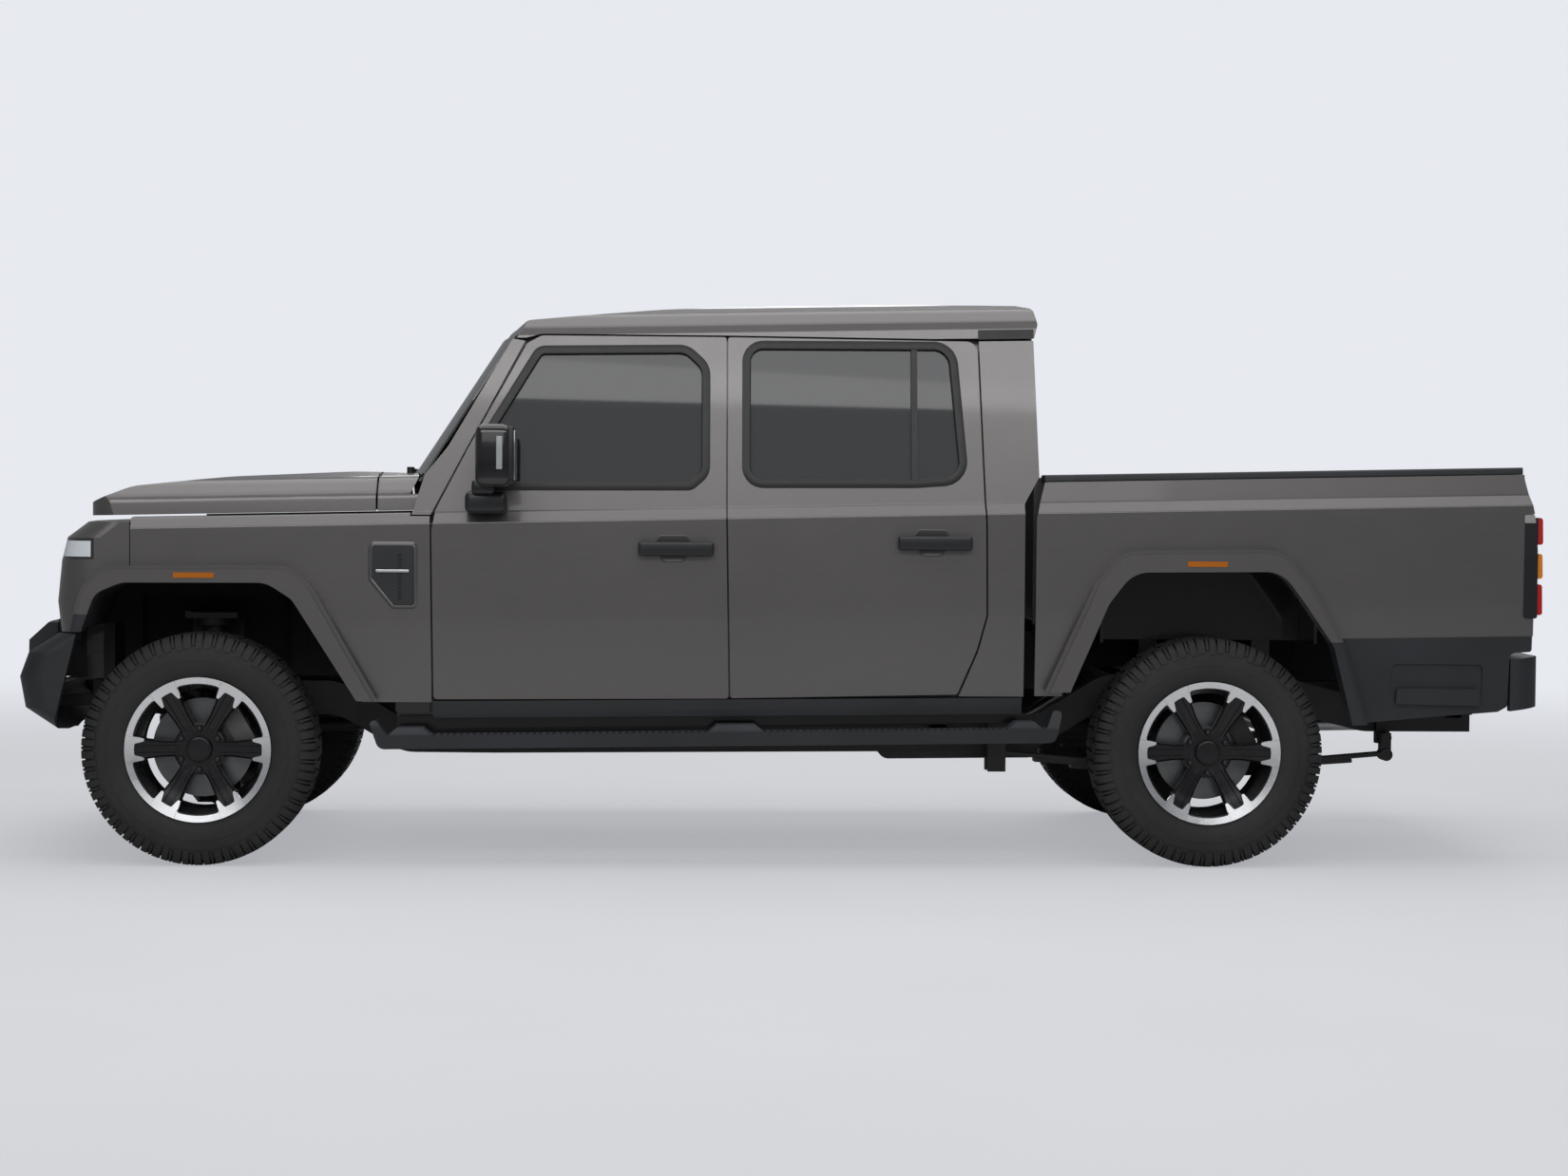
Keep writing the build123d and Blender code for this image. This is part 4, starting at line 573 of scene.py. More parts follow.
def array_piece(name, tree, points, faces, count, step, centre, material, body):
    """Runs an array tree on one shape and keeps the result as a plain piece."""
    seed = make_piece(name + "_seed", points, faces, material, None)
    modifier = seed.modifiers.new("array", "NODES")
    modifier.node_group = tree
    sockets = {item.name: item.identifier for item in tree.interface.items_tree if item.in_out == "INPUT"}
    for key, value in [("Count", count), ("Step", step), ("Centre", centre), ("Finish", material)]:
        modifier[sockets[key]] = value
    mesh = bpy.data.meshes.new_from_object(seed.evaluated_get(bpy.context.evaluated_depsgraph_get()))
    bpy.data.objects.remove(seed)
    mesh.name = name
    shade(mesh)
    return place_piece(name, mesh, body)


print("trees", TURNED.name, ROW.name)

# %% [markdown]
# ## Tyres
# An all-terrain tyre has a smooth flank with a few fine rings, big lugs that wrap over the shoulder, and staggered
# blocks across the tread. The carcass is turned from its section; the lugs of one pitch are modelled once and the
# axle tree repeats them.

# %% Tyre carcass
FLANK = [(0.1165, 0.255), (0.124, 0.264), (0.1285, 0.29), (0.1292, 0.302), (0.13, 0.303), (0.13, 0.306),
         (0.129, 0.307), (0.1278, 0.33), (0.1262, 0.342), (0.1235, 0.348), (0.118, 0.364), (0.106, 0.376),
         (0.096, 0.381), (0.05, 0.383)]
BEAD = [(0.114, 0.248), (0.104, 0.2478), (0.1015, 0.23)]
TURNS = 96


def turned(section, centre, way, turns=TURNS):
    """Points and faces of a closed (depth, radius) section turned about an axle; depth counts towards the truck."""
    points = []
    for depth, radius in section:
        for k in range(turns):
            a = 2 * pi * k / turns
            points.append((centre.x + radius * cos(a), centre.y - way * depth, centre.z + radius * sin(a)))
    return points, ring_faces(len(section), turns)


half_section = [(-w, r) for w, r in reversed(BEAD)] + [(-w, r) for w, r in FLANK]
carcass_section = half_section + [(-w, r) for w, r in reversed(half_section)]
WHEELS = {}
for end, x in (("front", FRONT_AXLE_X), ("rear", REAR_AXLE_X)):
    for side, way in SIDES.items():
        WHEELS[f"{end}_{side}"] = (Vector((x, way * WHEEL_Y, TYRE_R)), way)
for wheel, (centre, way) in WHEELS.items():
    shape = turned(carcass_section, centre, -1)
    carcass = make_piece(f"tyre_carcass_{wheel}", *shape, RUBBER, f"wheel_{wheel}", slot="tyre_rubber")
    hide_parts(f"tyre_{wheel}")
print("carcasses", len(WHEELS), "section points", len(carcass_section))

# %% Tread lugs
PITCHES = 33
PITCH_ANGLE = 2 * pi / PITCHES


def lug(section, start, end, lean=0.0):
    """A closed block: a (depth, radius) section swept over a short arc, leaning along the tread."""
    points = []
    for share in (start, end):
        for depth, radius in section:
            a = (share + lean * depth) * PITCH_ANGLE
            points.append((radius * cos(a), depth, radius * sin(a)))
    return points, prism_faces(len(section))


def joined(parts):
    """Points and faces of several parts as one mesh."""
    points, faces = [], []
    for more_points, more_faces in parts:
        faces += [tuple(i + len(points) for i in face) for face in more_faces]
        points += more_points
    return points, faces


def block(inner, outer, crown=0.3935):
    return [(inner, 0.38), (inner, crown), (outer, crown), (outer, 0.38)]


def shoulder(way, reach, drop):
    """Section of a lug that wraps over the shoulder and ends at a radius down the flank."""
    outline = [(0.074, 0.38), (0.074, 0.393), (0.103, 0.3915), (0.115, 0.383), (0.1245, 0.365), (reach, drop),
               (reach - 0.006, drop - 0.002), (0.11, 0.37)]
    return [(way * w, r) for w, r in outline]


lugs = []
for way, shift in ((-1, 0.0), (1, 0.5)):
    lugs.append(lug(shoulder(way, 0.129, 0.34), shift + 0.03, shift + 0.32))
    lugs.append(lug(shoulder(way, 0.1265, 0.354), shift + 0.4, shift + 0.5))
    lugs.append(lug(shoulder(way, 0.1285, 0.344), shift + 0.58, shift + 0.93))
    lugs.append(lug(block(way * 0.03, way * 0.066), shift + 0.05, shift + 0.42, way * 1.4))
    lugs.append(lug(block(way * 0.027, way * 0.064), shift + 0.55, shift + 0.9, way * -1.4))
lugs.append(lug(block(-0.02, 0.02), 0.05, 0.4, 2.5))
lugs.append(lug(block(-0.02, 0.02), 0.55, 0.9, -2.5))
tread_points, tread_faces = joined(lugs)
for wheel, (centre, way) in WHEELS.items():
    array_piece(f"tyre_tread_{wheel}", TURNED, tread_points, tread_faces, PITCHES, (0, PITCH_ANGLE, 0), centre, RUBBER,
                f"wheel_{wheel}")
print("lugs", PITCHES * len(lugs), "on each tyre")

# %% [markdown]
# ## Wheel faces
# The cast wheel is painted black, then its rim edge and the forked ends of the six spokes are turned bright on a
# lathe. The bright face is one ring whose inner edge steps in at each spoke to form two prongs, so its outline is a
# table of angles and radii for one sixth of a turn.

# %% Machined face
SPOKES = 6
EDGE_R = 0.2452
RING_R = 0.2235
FACE_LEAN = 0.26
FACE_DEPTH = -0.1187
INNER_BACK, EDGE_BACK = -0.09, -0.11
PLAIN_STEPS = 8
PRONG_TABLE = [(0.0, 0.214), (4.6, 0.2135), (5.6, 0.21), (7.0, 0.196), (8.2, 0.187), (8.8, 0.1842), (10.6, 0.1842),
               (11.4, 0.187), (11.2, 0.202), (11.0, 0.212), (11.6, 0.22), (13.0, RING_R)]
sixth = [(-a, r) for a, r in reversed(PRONG_TABLE[1:])] + PRONG_TABLE
sixth += [(13.0 + 34.0 * k / PLAIN_STEPS, RING_R) for k in range(1, PLAIN_STEPS)]


def face_depth(radius):
    """The bright face leans in from the rim's edge towards the hub."""
    return FACE_DEPTH + (EDGE_R - radius) * FACE_LEAN


def machined_face(centre, way):
    """A ring of five loops: the outer edge, a step, the forked inner edge and their two backs."""
    inner = [(radians(60 * k + a), r) for k in range(SPOKES) for a, r in sixth]
    points = []
    for rule in ("edge", "ring", "inner", "inner_back", "edge_back"):
        for a, r in inner:
            radius = EDGE_R if "edge" in rule else (max(r, RING_R + 0.0012) if rule == "ring" else r)
            depth = {"inner_back": INNER_BACK, "edge_back": EDGE_BACK}.get(rule, face_depth(radius))
            points.append((centre.x + radius * cos(a), centre.y - way * depth, centre.z + radius * sin(a)))
    return points, ring_faces(5, len(inner))


for wheel, (centre, way) in WHEELS.items():
    make_piece(f"machined_face_{wheel}", *machined_face(centre, way), MACHINED, f"wheel_{wheel}", slot="rim_metal")
print("machined faces", len(WHEELS))

# %% [markdown]
# ## Cast wheels and brake discs
# Behind the bright face the wheel is a barrel with six spokes. The barrel, hub and disc are sections turned about the
# axle, as they are made on a lathe. A spoke is a loft through sections that widen towards the rim, with a channel down
# its middle. The brake disc is a vented one, dull in the gaps between the spokes.

# %% Wheel sections
# Each point: depth from the wheel's middle, radius
RIM_SECTION = [(-0.1176, 0.246), (-0.1168, 0.244), (-0.109, 0.219), (-0.092, 0.218), (-0.048, 0.202),
               (0.058, 0.202), (0.102, 0.216), (0.118, 0.224), (0.118, 0.246), (0.106, 0.246),
               (0.104, 0.229), (0.068, 0.229), (0.052, 0.217), (-0.052, 0.217), (-0.068, 0.229),
               (-0.104, 0.229), (-0.106, 0.246)]
HUB_SECTION = [(-0.016, 0.031), (-0.016, 0.086), (-0.056, 0.09), (-0.07, 0.088), (-0.074, 0.082),
               (-0.074, 0.031)]
DISC_SECTION = [(-0.016, 0.031), (-0.016, 0.062), (-0.004, 0.064), (-0.004, 0.168), (0.004, 0.168),
                (0.005, 0.16), (0.011, 0.16), (0.012, 0.168), (0.02, 0.168), (0.02, 0.09),
                (0.0, 0.06), (0.0, 0.031)]
# Spoke stations: radius, half width, depth of its face
SPOKE = [(0.06, 0.03, -0.074), (0.086, 0.026, -0.079), (0.12, 0.027, -0.083), (0.155, 0.031, -0.088),
         (0.178, 0.034, -0.093), (0.184, 0.04, -0.096), (0.205, 0.041, -0.1), (0.226, 0.046, -0.105)]


def spoke_ring(radius, half, face):
    """Section across a spoke, (across, depth, radius): chamfered edges and a channel down its middle."""
    left = [(-half, face + 0.04), (-half, face + 0.007), (-half + 0.006, face), (-0.013, face), (-0.011, face + 0.005)]
    return [(a, d, radius) for a, d in left + [(-a, d) for a, d in reversed(left)]]


print("spoke stations", len(SPOKE))

# %% Cast wheels and discs
SPOKE_TURN = 2 * pi / SPOKES
HUB_TURNS = 64
DISC_STEEL = metal("brake_disc_steel", (0.2, 0.205, 0.21), 0.36, stain=0.45)
for wheel, (centre, way) in WHEELS.items():
    body = f"wheel_{wheel}"
    parts = [turned(RIM_SECTION, centre, way), turned(HUB_SECTION, centre, way, HUB_TURNS)]
    for k in range(SPOKES):
        turn = Matrix.Rotation(SPOKE_TURN * k, 3, "Y")
        rings = [spoke_ring(*station) for station in SPOKE]
        loft = [centre + turn @ Vector((radius, -way * depth, across))
                for ring in rings for across, depth, radius in ring]
        parts.append((loft, closed_loft(len(rings), len(rings[0]))))
    cast = make_piece(f"cast_wheel_{wheel}", *joined(parts), RIM_BLACK, body, slot="rim_metal")
    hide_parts(f"rim_{wheel}")
    disc = turned(DISC_SECTION, centre, way)
    make_piece(f"brake_disc_{wheel}", *disc, DISC_STEEL, body, slot="bare_steel")
print("cast wheels", len(WHEELS))

# %% [markdown]
# ## Wheel nuts and caps
# Six nuts sit between the spokes. A nut is a hexagon with a domed end, modelled once and turned about the axle by the
# same tree as the tread. The cap over the hub is left bare.

# %% Nuts and caps
NUT_CIRCLE_R = 0.07
NUT_SEAT = 0.072
CAP_TURNS = 48
CAP_SECTION = [(-0.07, 0.0005), (-0.07, 0.044), (-0.088, 0.043), (-0.0925, 0.04), (-0.094, 0.035),
               (-0.0955, 0.034), (-0.096, 0.0005)]


def hexagon_nut(radius, length, away, way):
    """Points and faces of a domed nut, `away` from the axle, pointing outwards."""
    points = []
    rings = [(1.0, 0.0), (1.0, length * 0.62), (0.72, length * 0.92), (0.3, length)]
    for share, depth in rings:
        for k in range(6):
            a = pi * k / 3
            points.append((away + radius * share * cos(a), way * (NUT_SEAT + depth), radius * share * sin(a)))
    return points, closed_loft(len(rings), 6)


between_spokes = Matrix.Rotation(SPOKE_TURN / 2, 3, "Y")
for wheel, (centre, way) in WHEELS.items():
    body = f"wheel_{wheel}"
    points, faces = hexagon_nut(0.0105, 0.018, NUT_CIRCLE_R, way)
    points = [between_spokes @ Vector(p) for p in points]
    array_piece(f"wheel_nuts_{wheel}", TURNED, points, faces, SPOKES, (0, SPOKE_TURN, 0), centre, SATIN, body)
    cap = turned(CAP_SECTION, centre, way, CAP_TURNS)
    make_piece(f"hub_cap_{wheel}", *cap, RIM_BLACK, body, slot="rim_metal")
print("nuts", SPOKES * len(WHEELS))

# %% [markdown]
# ## Window seals
# A black rubber strip runs round every door window, about 25 mm wide, slightly proud of the paint. It is a small
# section carried round the rounded outline of the opening and laid on the leaning door.

# %% Window seals
# Each corner: x, z, radius
FRONT_WINDOW = [(-1.03, 1.299, 0.02), (-1.035, 1.424, 0.06), (-0.838, 1.748, 0.026), (-0.345, 1.756, 0.06),
                (-0.284, 1.7, 0.06), (-0.284, 1.344, 0.046), (-0.33, 1.304, 0.02)]
REAR_WINDOW = [(-0.128, 1.314, 0.048), (-0.128, 1.772, 0.048), (0.56, 1.775, 0.06), (0.6, 1.33, 0.06),
               (0.44, 1.318, 0.4)]
DIVIDER_X = (0.427, 0.448)
# Each point: outwards from the opening, proud of the skin
SEAL_SECTION = [(-0.006, -0.013), (-0.006, 0.0005), (-0.003, 0.003), (0.004, 0.0036), (0.019, 0.003),
                (0.0235, 0.0012), (0.0235, -0.002), (0.002, -0.002), (0.002, -0.013)]


def strip_on_side(loop, section, side):
    """Closed strip whose section (outwards from the loop, proud of the skin) follows a loop on the body side."""
    points = []
    for out, proud in section:
        for a in offset_loop(loop, out):
            points.append((a.x, side * (skin_y(a.y, a.x) + proud), a.y))
    return points, ring_faces(len(section), len(loop))


for name, way in SIDES.items():
    for place, outline in (("front", FRONT_WINDOW), ("rear", REAR_WINDOW)):
        seal = strip_on_side(rounded_loop(outline), SEAL_SECTION, way)
        make_piece(f"window_seal_{place}_{name}", *seal, SEAL, f"door_{place}_{name}", slot="gloss_black")
    low = [(x, 1.32 + (x - 0.43) * 0.02) for x in DIVIDER_X]
    high = [(x, 1.774) for x in reversed(DIVIDER_X)]
    bar = [(x, way * (skin_y(z, x) + proud), z) for proud in (-0.0135, 0.001) for x, z in low + high]
    make_piece(f"window_divider_{name}", bar, prism_faces(4), SEAL, f"door_rear_{name}", smooth=False,
               slot="gloss_black")
print("seals", 4, "dividers", 2)

# %% [markdown]
# ## Seats
# Each seat is foam under cloth. A pad starts as a fine grid on a box; its sides are pushed out as a cushion's are,
# full in the middle and pinched at the seams, and the sewn channels are pressed in afterwards.

# %% Padded block
def padded_block(name, box, crown, channels, body, lean=0.0, steps=18):
    """A crowned pad between two corners, leaning back by `lean` per metre of height, with sewn channels across it."""
    low, high = Vector(box[0]), Vector(box[1])
    shape = bmesh.new()
    bmesh.ops.create_cube(shape, size=2.0)
    bmesh.ops.subdivide_edges(shape, edges=shape.edges[:], cuts=steps, use_grid_fill=True)
    half = (high - low) / 2
    middle = (high + low) / 2
    for vert in shape.verts:
        u = Vector(vert.co)
        soft = Vector([u[i] * (1 - 0.16 * (u[(i + 1) % 3] ** 4 + u[(i + 2) % 3] ** 4) * 0.5) for i in range(3)])
        puff = [crown * (1 - u[(i + 1) % 3] ** 2) * (1 - u[(i + 2) % 3] ** 2)
                * (1 if u[i] > 0 else -1) * (abs(u[i]) > 0.99) for i in range(3)]
        place = Vector([middle[i] + soft[i] * half[i] * (1 - crown / half[i]) + puff[i] for i in range(3)])
        for at in channels:
            groove = max(0.0, 1 - abs(u.y - at) / 0.05)
            place -= Vector((soft.x, 0, soft.z)) * groove * 0.01
        place.x += (place.z - low.z) * lean
        vert.co = place
    mesh = written(name, shape, CLOTH)
    mesh.shade_smooth()
    pad = place_piece(name, mesh, body)
    return pad


print("pad helper ready")

# %% Front seats and bench
# Sewn channels, as shares of a pad's half width
SEAT_CHANNELS = (-0.45, 0.45)
BENCH_CHANNELS = (-0.66, -0.33, 0.33, 0.66)
HEADREST_STEPS = 10
for side, way in SIDES.items():
    inner, outer = (-0.64, -0.15) if way < 0 else (0.15, 0.64)
    seat, back = ((-0.83, inner, 0.69), (-0.332, outer, 0.812)), ((-0.4, inner, 0.742), (-0.31, outer, 1.268))
    rest = ((-0.252, inner + 0.12, 1.3), (-0.172, outer - 0.12, 1.452))
    cushion = padded_block(f"seat_cushion_{side}", seat, 0.014, SEAT_CHANNELS, BODY)
    padded_block(f"seat_back_{side}", back, 0.014, SEAT_CHANNELS, BODY, 0.235)
    padded_block(f"seat_headrest_{side}", rest, 0.012, (), BODY, 0.05, HEADREST_STEPS)
    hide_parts("front_seats")
bench, bench_back = ((0.192, -0.66, 0.692), (0.688, 0.66, 0.81)), ((0.62, -0.66, 0.742), (0.706, 0.66, 1.248))
cushion = padded_block("bench_cushion", bench, 0.014, BENCH_CHANNELS, BODY)
padded_block("bench_back", bench_back, 0.014, BENCH_CHANNELS, BODY, 0.1)
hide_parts("rear_bench")
for place, y in (("left", -0.4), ("middle", 0.0), ("right", 0.4)):
    rest = ((0.699, y - 0.115, 1.252), (0.764, y + 0.115, 1.384))
    padded_block(f"bench_headrest_{place}", rest, 0.01, (), BODY, 0.02, HEADREST_STEPS)
print("pads", 11)

# %% [markdown]
# ## Mirrors
# The door mirrors are deep glossy shells on a short arm and a rounded foot. A box with softened edges is enough for
# each part; the mirror itself is a flat pane set in the rear face, and a slim lamp runs down the outer side.

# %% Soft box
SOFT_BOX_ANGLE = radians(40)


def soft_box(name, low, high, way, edge, material, body):
    """A box with rounded edges between two corners on the left side, turned over for the right side."""
    shape = bmesh.new()
    bmesh.ops.create_cube(shape, size=1.0)
    ys = sorted((low[1] * -way, high[1] * -way))
    low, high = (low[0], ys[0], low[2]), (high[0], ys[1], high[2])
    for vert in shape.verts:
        vert.co = Vector([low[i] + (high[i] - low[i]) * (vert.co[i] + 0.5) for i in range(3)])
    bmesh.ops.bevel(shape, geom=shape.edges[:] + shape.verts[:], offset=edge, segments=4, profile=0.5, affect="EDGES")
    bmesh.ops.recalc_face_normals(shape, faces=shape.faces)
    mesh = written(name, shape, material)
    shade(mesh, SOFT_BOX_ANGLE)
    return place_piece(name, mesh, body)


print("soft box ready")

# %% Mirror parts
MIRROR_PANE = metal("mirror_silver", (0.75, 0.77, 0.79), 0.08, lift=0.0, stain=0.03)
# Part, corners on the left door, edge radius, finish, slot
MIRROR = [("shell", (-1.043, -1.13, 1.288), (-0.922, -0.925, 1.496), 0.03, GLOSS, "gloss_black"),
          ("frame", (-0.936, -1.122, 1.296), (-0.914, -0.933, 1.488), 0.007, SATIN, "gloss_black"),
          ("foot", (-1.086, -0.962, 1.198), (-0.944, -0.858, 1.274), 0.022, SATIN, "gloss_black"),
          ("arm", (-1.062, -0.985, 1.262), (-0.985, -0.915, 1.312), 0.014, SATIN, "gloss_black"),
          ("pane", (-0.918, -1.11, 1.31), (-0.911, -0.945, 1.474), 0.002, MIRROR_PANE, "bare_steel"),
          ("lamp", (-0.972, -1.1325, 1.345), (-0.952, -1.124, 1.455), 0.003, CLEAR_LENS, "headlamp_glass")]
for side, way in SIDES.items():
    for part, low, high, edge, material, slot in MIRROR:
        piece = soft_box(f"mirror_{part}_{side}", low, high, way, edge, material, f"door_front_{side}")
        if part == "shell":
            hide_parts(f"mirror_{side}")
print("mirror parts", 2 * len(MIRROR))

# %% [markdown]
# ## Door handles
# Each pull handle is a satin bar with rounded ends over a dished cup, so that fingers fit behind it. The cup is a
# shallow bowl with a soft lip, drawn as rings that shrink towards its middle. Its paint is the body grey made darker,
# as painted shade in the hollow.

# %% Door handles
# Front end, rear end, height of the grip
HANDLES = {"front": (-0.503, -0.247, 1.083), "rear": (0.379, 0.632, 1.108)}
# Share of the outline, proud of the skin
CUP_RINGS = [(1.04, 0.0), (1.03, 0.0016), (0.98, 0.0024), (0.93, 0.002), (0.8, 0.0008), (0.4, 0.0006),
             (0.05, 0.0006)]
# Corners of the cup about the handle's middle: along, up, radius
CUP_CORNERS = [(-0.058, -0.01, 0.02), (-0.034, -0.045, 0.02), (0.034, -0.045, 0.02), (0.058, -0.01, 0.02),
               (0.058, 0.026, 0.014), (0.044, 0.044, 0.012), (-0.044, 0.044, 0.012), (-0.058, 0.026, 0.014)]
# The cup's darker grey is painted shade for the hollow behind the grip, not a colour of its own.
CUP_SHADE_PAINT = paint("handle_cup_painted_shade", (0.055, 0.052, 0.052))
for place, (x0, x1, z) in HANDLES.items():
    middle = (x0 + x1) / 2 - 0.01
    cup_loop = rounded_loop([(middle + a, z + b, r) for a, b, r in CUP_CORNERS], 4)
    for side, way in SIDES.items():
        door = f"door_{place}_{side}"
        points = []
        for share, proud in CUP_RINGS:
            for a in cup_loop:
                x, h = middle + (a.x - middle) * share, z + (a.y - z) * share
                points.append((x, way * (skin_y(h, x) + proud), h))
        faces = closed_loft(len(CUP_RINGS), len(cup_loop))
        make_piece(f"handle_cup_{place}_{side}", points, faces, CUP_SHADE_PAINT, door, slot="body_paint")
        out = skin_y(z, middle)
        low, high = (x0, -out - 0.036, z - 0.025), (x1, -out - 0.014, z + 0.024)
        grip = soft_box(f"handle_grip_{place}_{side}", low, high, way, 0.009, SATIN, door)
        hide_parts(f"door_handle_{place}_{side}")
        for end, x in (("front", x0 + 0.012), ("rear", x1 - 0.038)):
            low, high = (x, -out - 0.018, z - 0.014), (x + 0.026, -out + 0.003, z + 0.014)
            soft_box(f"handle_foot_{end}_{place}_{side}", low, high, way, 0.003, SATIN, door)
print("handles", 4)

# %% [markdown]
# ## Wing vents
# Behind each front wheel is a vent with five sides: a soft painted lip, a dark moulding, an upright slot and a bright
# bar across it. Louvres inside the slot repeat along a row.

# %% Wing vents
VENT = [(-1.398, 1.085, 0.008), (-1.262, 1.085, 0.006), (-1.261, 0.888, 0.006), (-1.326, 0.888, 0.006),
        (-1.398, 0.976, 0.01)]
LIP_SECTION = [(-0.001, 0.0), (-0.001, 0.006), (0.003, 0.0078), (0.007, 0.0062), (0.012, 0.0018),
               (0.015, -0.001), (0.008, -0.002)]
# Louvre: distance out and height of its four long edges, then its two ends
LOUVRE_EDGES = [(0.8935, 0.0), (0.8985, 0.003), (0.8985, 0.007), (0.8935, 0.004)]
LOUVRE_ENDS = (-1.311, -1.301)
LOUVRES = 13
BRIGHT = metal("brushed_bright_trim", (0.72, 0.73, 0.75), 0.22, lift=0.04, stain=0.05)
for side, way in SIDES.items():
    loop = rounded_loop(VENT, 4)
    lip = strip_on_side(offset_loop(loop, 0.0015), LIP_SECTION, way)
    make_piece(f"vent_lip_{side}", *lip, PAINT, BODY, slot="body_paint")
    low, high = (-1.387, -0.9075, 0.9965), (-1.274, -0.9, 1.0065)
    soft_box(f"vent_bar_{side}", low, high, way, 0.0025, BRIGHT, BODY)
    louvre = [(x, way * y, z) for x in LOUVRE_ENDS for y, z in LOUVRE_EDGES]
    array_piece(f"vent_louvres_{side}", ROW, louvre, prism_faces(4), LOUVRES, (0, 0, 0.0122), (0, 0, 0.902), SATIN,
                BODY)
print("vents", 2)

# %% [markdown]
# ## Side steps
# The running boards carry three rows of small studs for grip, and raised pads at the ends and the middle. The studs
# are copies in a row that climbs with the board.

# %% Side steps
STEP_SLOPE = 0.013
PAD_GREY = plastic("step_pad_grey_plastic", (0.045, 0.05, 0.058), 0.42, grain=0.25, scale=420.0)


def stud(y):
    """A small stud with a narrower top."""
    points = []
    for half_x, half_y, z in ((0.006, 0.009, 0), (0.004, 0.006, 0.006)):
        low, high = y - half_y, y + half_y
        points += [(-half_x, low, z), (half_x, low, z), (half_x, high, z), (-half_x, high, z)]
    return points, prism_faces(4)


STUD_ROWS = (0.89, 0.917, 0.944)
STUDS = 96
STUD_PITCH = 0.0223
FIRST_STUD = (-1.285, 0, 0.4455)
PADS = [(-1.345, -1.19), (-0.27, -0.07), (0.745, 0.88)]
PAD_WIDTH = (0.884, 0.962)
for side, way in SIDES.items():
    points, faces = joined([stud(way * y) for y in STUD_ROWS])
    array_piece(f"step_studs_{side}", ROW, points, faces, STUDS, (STUD_PITCH, 0, STUD_PITCH * STEP_SLOPE), FIRST_STUD,
                GRAINED, BODY)
    for number, (x0, x1) in enumerate(PADS):
        base = 0.446 + (x0 + 1.3) * STEP_SLOPE
        section = [(x0, base), (x0 + 0.035, base + 0.03), (x1 - 0.035, base + 0.031), (x1, base + 0.003)]
        points = [(x, way * y, h) for y in PAD_WIDTH for x, h in section]
        make_piece(f"step_pad_{number}_{side}", points, prism_faces(4), PAD_GREY, BODY, smooth=False,
                   slot="grained_black")
print("studs", len(SIDES) * STUDS * len(STUD_ROWS))

# %% [markdown]
# ## Splash apron, shade plates and roof trim
# Thin dark plates stop daylight from showing through the wheel arches and the gap behind the cab. The plate beside
# the engine stands for the splash shield of a real truck; the other three are plain dark sheets of painted shade, put
# where only shade lies. Short black strips finish the drip rail at the back of the roof.

# %% Apron, shade plates and trim
PLATE_THICKNESS = 0.006
# Distance out, then the (x, z) outline
APRON_AND_SHADE_PLATES = {"engine": (0.4, [(-2.3, 0.64), (-1.5, 0.64), (-1.4, 0.9), (-1.42, 0.99), (-2.28, 0.99)]),
          "nose": (0.56, [(-2.51, 0.62), (-2.415, 0.62), (-2.415, 0.82), (-2.51, 0.82)]),
          "cab_end": (0.7, [(0.8, 0.6), (0.93, 0.6), (0.93, 0.8), (0.8, 0.8)]),
          "axle": (0.36, [(1.02, 0.66), (1.86, 0.66), (1.86, 0.8), (1.02, 0.8)])}
# Drip rail strip: x, distance out, height at x = 0
DRIP_RAIL = ((0.658, 0.7892, 1.7915), (0.85, 0.7892, 1.7915), (0.85, 0.7858, 1.824), (0.658, 0.7858, 1.824))
for side, way in SIDES.items():
    # The nose, cab-end and axle plates are painted shade: dark sheets where only shade lies. The engine plate is a
    # splash shield.
    for place, (out, edge) in APRON_AND_SHADE_PLATES.items():
        points = [(x, way * (out + t), z) for t in (0, PLATE_THICKNESS) for x, z in edge]
        make_piece(f"splash_apron_{place}_{side}", points, prism_faces(len(edge)), LINER_AND_SHADE_BLACK, BODY, smooth=False,
                   slot="grained_black")
    strip = [(x, way * (y + t), level + RAKE * x) for t in (-0.004, 0.0012) for x, y, level in DRIP_RAIL]
    make_piece(f"drip_rail_end_{side}", strip, prism_faces(4), SEAL, BODY, smooth=False, slot="gloss_black")
print("aprons and trim", len(SIDES) * (len(APRON_AND_SHADE_PLATES) + 1))

# %% [markdown]
# ## Floor, backdrop and lamps
# A pale floor fades into a pale world, which only the camera and glass see; the light that falls on the truck from
# the world is weaker. The lamps are four wide panels: one over the roof, two at the near side for the flank and the
# belt line, and one on the far side for the edge of the roof.

# %% Floor
BACKDROP = (0.8, 0.82, 0.87)
FLOOR_HALF = 60
FADE_START, FADE_END = 3.0, 11.0
NEAR_SHARE = 0.5


def seen_directly(tree):
    """1 for what the camera sees, also through glass."""
    rays = add(tree, "ShaderNodeLightPath").outputs
    return calculate(tree, "MAXIMUM", rays["Is Camera Ray"], rays["Is Transmission Ray"])


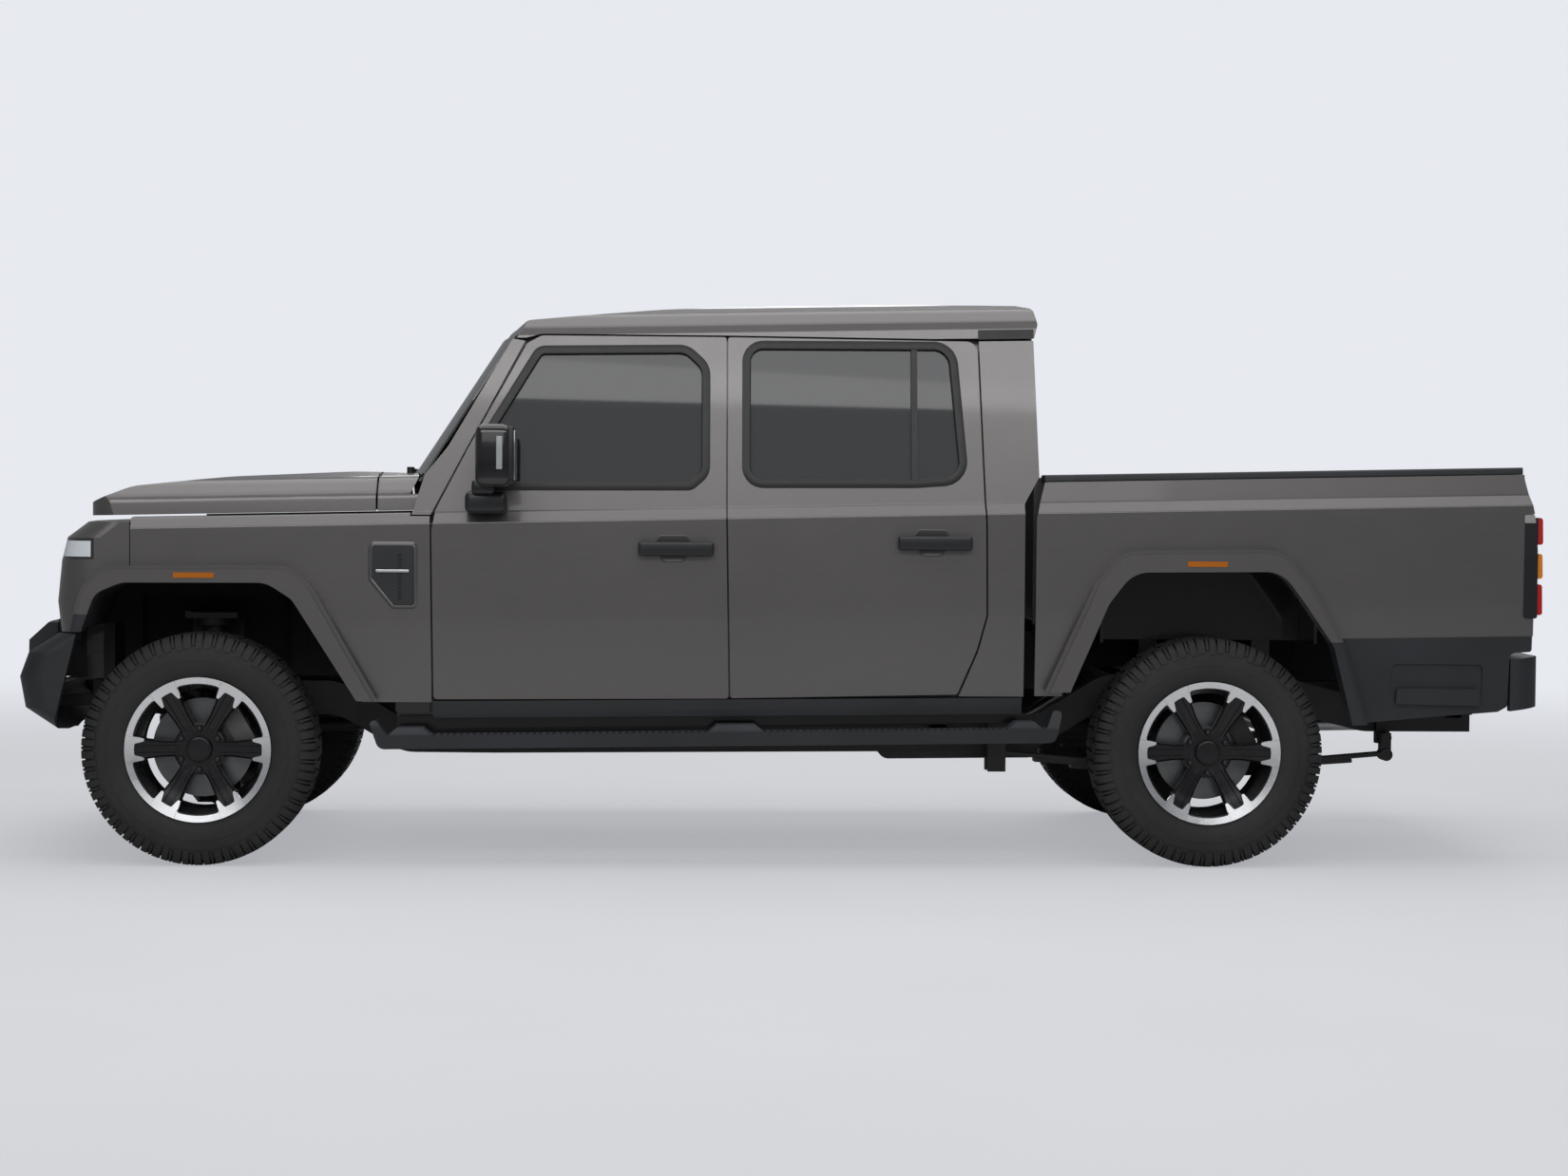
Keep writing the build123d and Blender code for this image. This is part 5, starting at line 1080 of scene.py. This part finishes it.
floor_mesh = bpy.data.meshes.new("studio_floor")
floor_points = [(x * FLOOR_HALF, y * FLOOR_HALF, 0) for x, y in ((-1, -1), (1, -1), (1, 1), (-1, 1))]
floor_mesh.from_pydata(floor_points, [], [(0, 1, 2, 3)])
floor = new_object("studio_floor", floor_mesh)
floor_paint, tree, shader, coords = new_tree("pale_floor")
mottle = ramp(tree, noise(tree, coords, 0.8, 3), [(0.3, 0.6), (0.7, 0.64)])
tree.links.new(mottle, shader.inputs["Base Color"])
give(shader, Roughness=0.7)
reach = add(tree, "ShaderNodeVectorMath", {0: coords}, operation="LENGTH")
distances = {"Value": reach.outputs["Value"], 1: FADE_START, 2: FADE_END, 3: NEAR_SHARE, 4: 1.0}
far = add(tree, "ShaderNodeMapRange", distances, interpolation_type="SMOOTHSTEP")
fade = calculate(tree, "MULTIPLY", far.outputs[0], seen_directly(tree))
glow = add(tree, "ShaderNodeEmission", {"Color": (*BACKDROP, 1), "Strength": 1.0})
blend = add(tree, "ShaderNodeMixShader", {0: fade, 1: shader.outputs[0], 2: glow.outputs[0]})
tree.links.new(blend.outputs[0], tree.nodes["Material Output"].inputs["Surface"])
floor_mesh.materials.append(floor_paint)
print("floor", 2 * FLOOR_HALF, "m wide")

# %% World
SKY_LIGHT = (0.2, 0.205, 0.215)
world = bpy.data.worlds.new("soft_studio")
world.use_nodes = True
bpy.context.scene.world = world
tree = world.node_tree
sky = mixed(tree, seen_directly(tree), SKY_LIGHT, BACKDROP)
tree.links.new(sky, tree.nodes["Background"].inputs["Color"])
bpy.context.scene.view_settings.view_transform = "Standard"
print("world ready")

# %% Lamps
def panel(name, at, towards, size, power):
    """A rectangular soft lamp that faces a point."""
    data = bpy.data.lights.new(name, "AREA")
    data.shape = "RECTANGLE"
    data.size, data.size_y = size
    data.energy = power
    lamp = new_object(name, data)
    lamp.location = at
    lamp.rotation_mode = "QUATERNION"
    lamp.rotation_quaternion = (Vector(towards) - Vector(at)).to_track_quat("-Z", "Y")
    lamp.visible_camera = False


# Place, the point it faces, width and height, watts
LAMPS = {"roof_panel_lamp": ((0, -0.3, 5.2), (0, -0.3, 1.0), (8.5, 6.4), 250),
         "flank_panel_lamp": ((-1.5, -9.5, 3.6), (0, 0, 1.0), (9.0, 2.0), 60),
         "belt_panel_lamp": ((-0.3, -5.2, 3.5), (0, 0, 1.1), (9.0, 1.0), 105),
         "rim_panel_lamp": ((1.5, 7.0, 4.2), (0, 0, 1.0), (8.0, 2.0), 120)}
for name, values in LAMPS.items():
    panel(name, *values)
print("lamps", len(LAMPS))
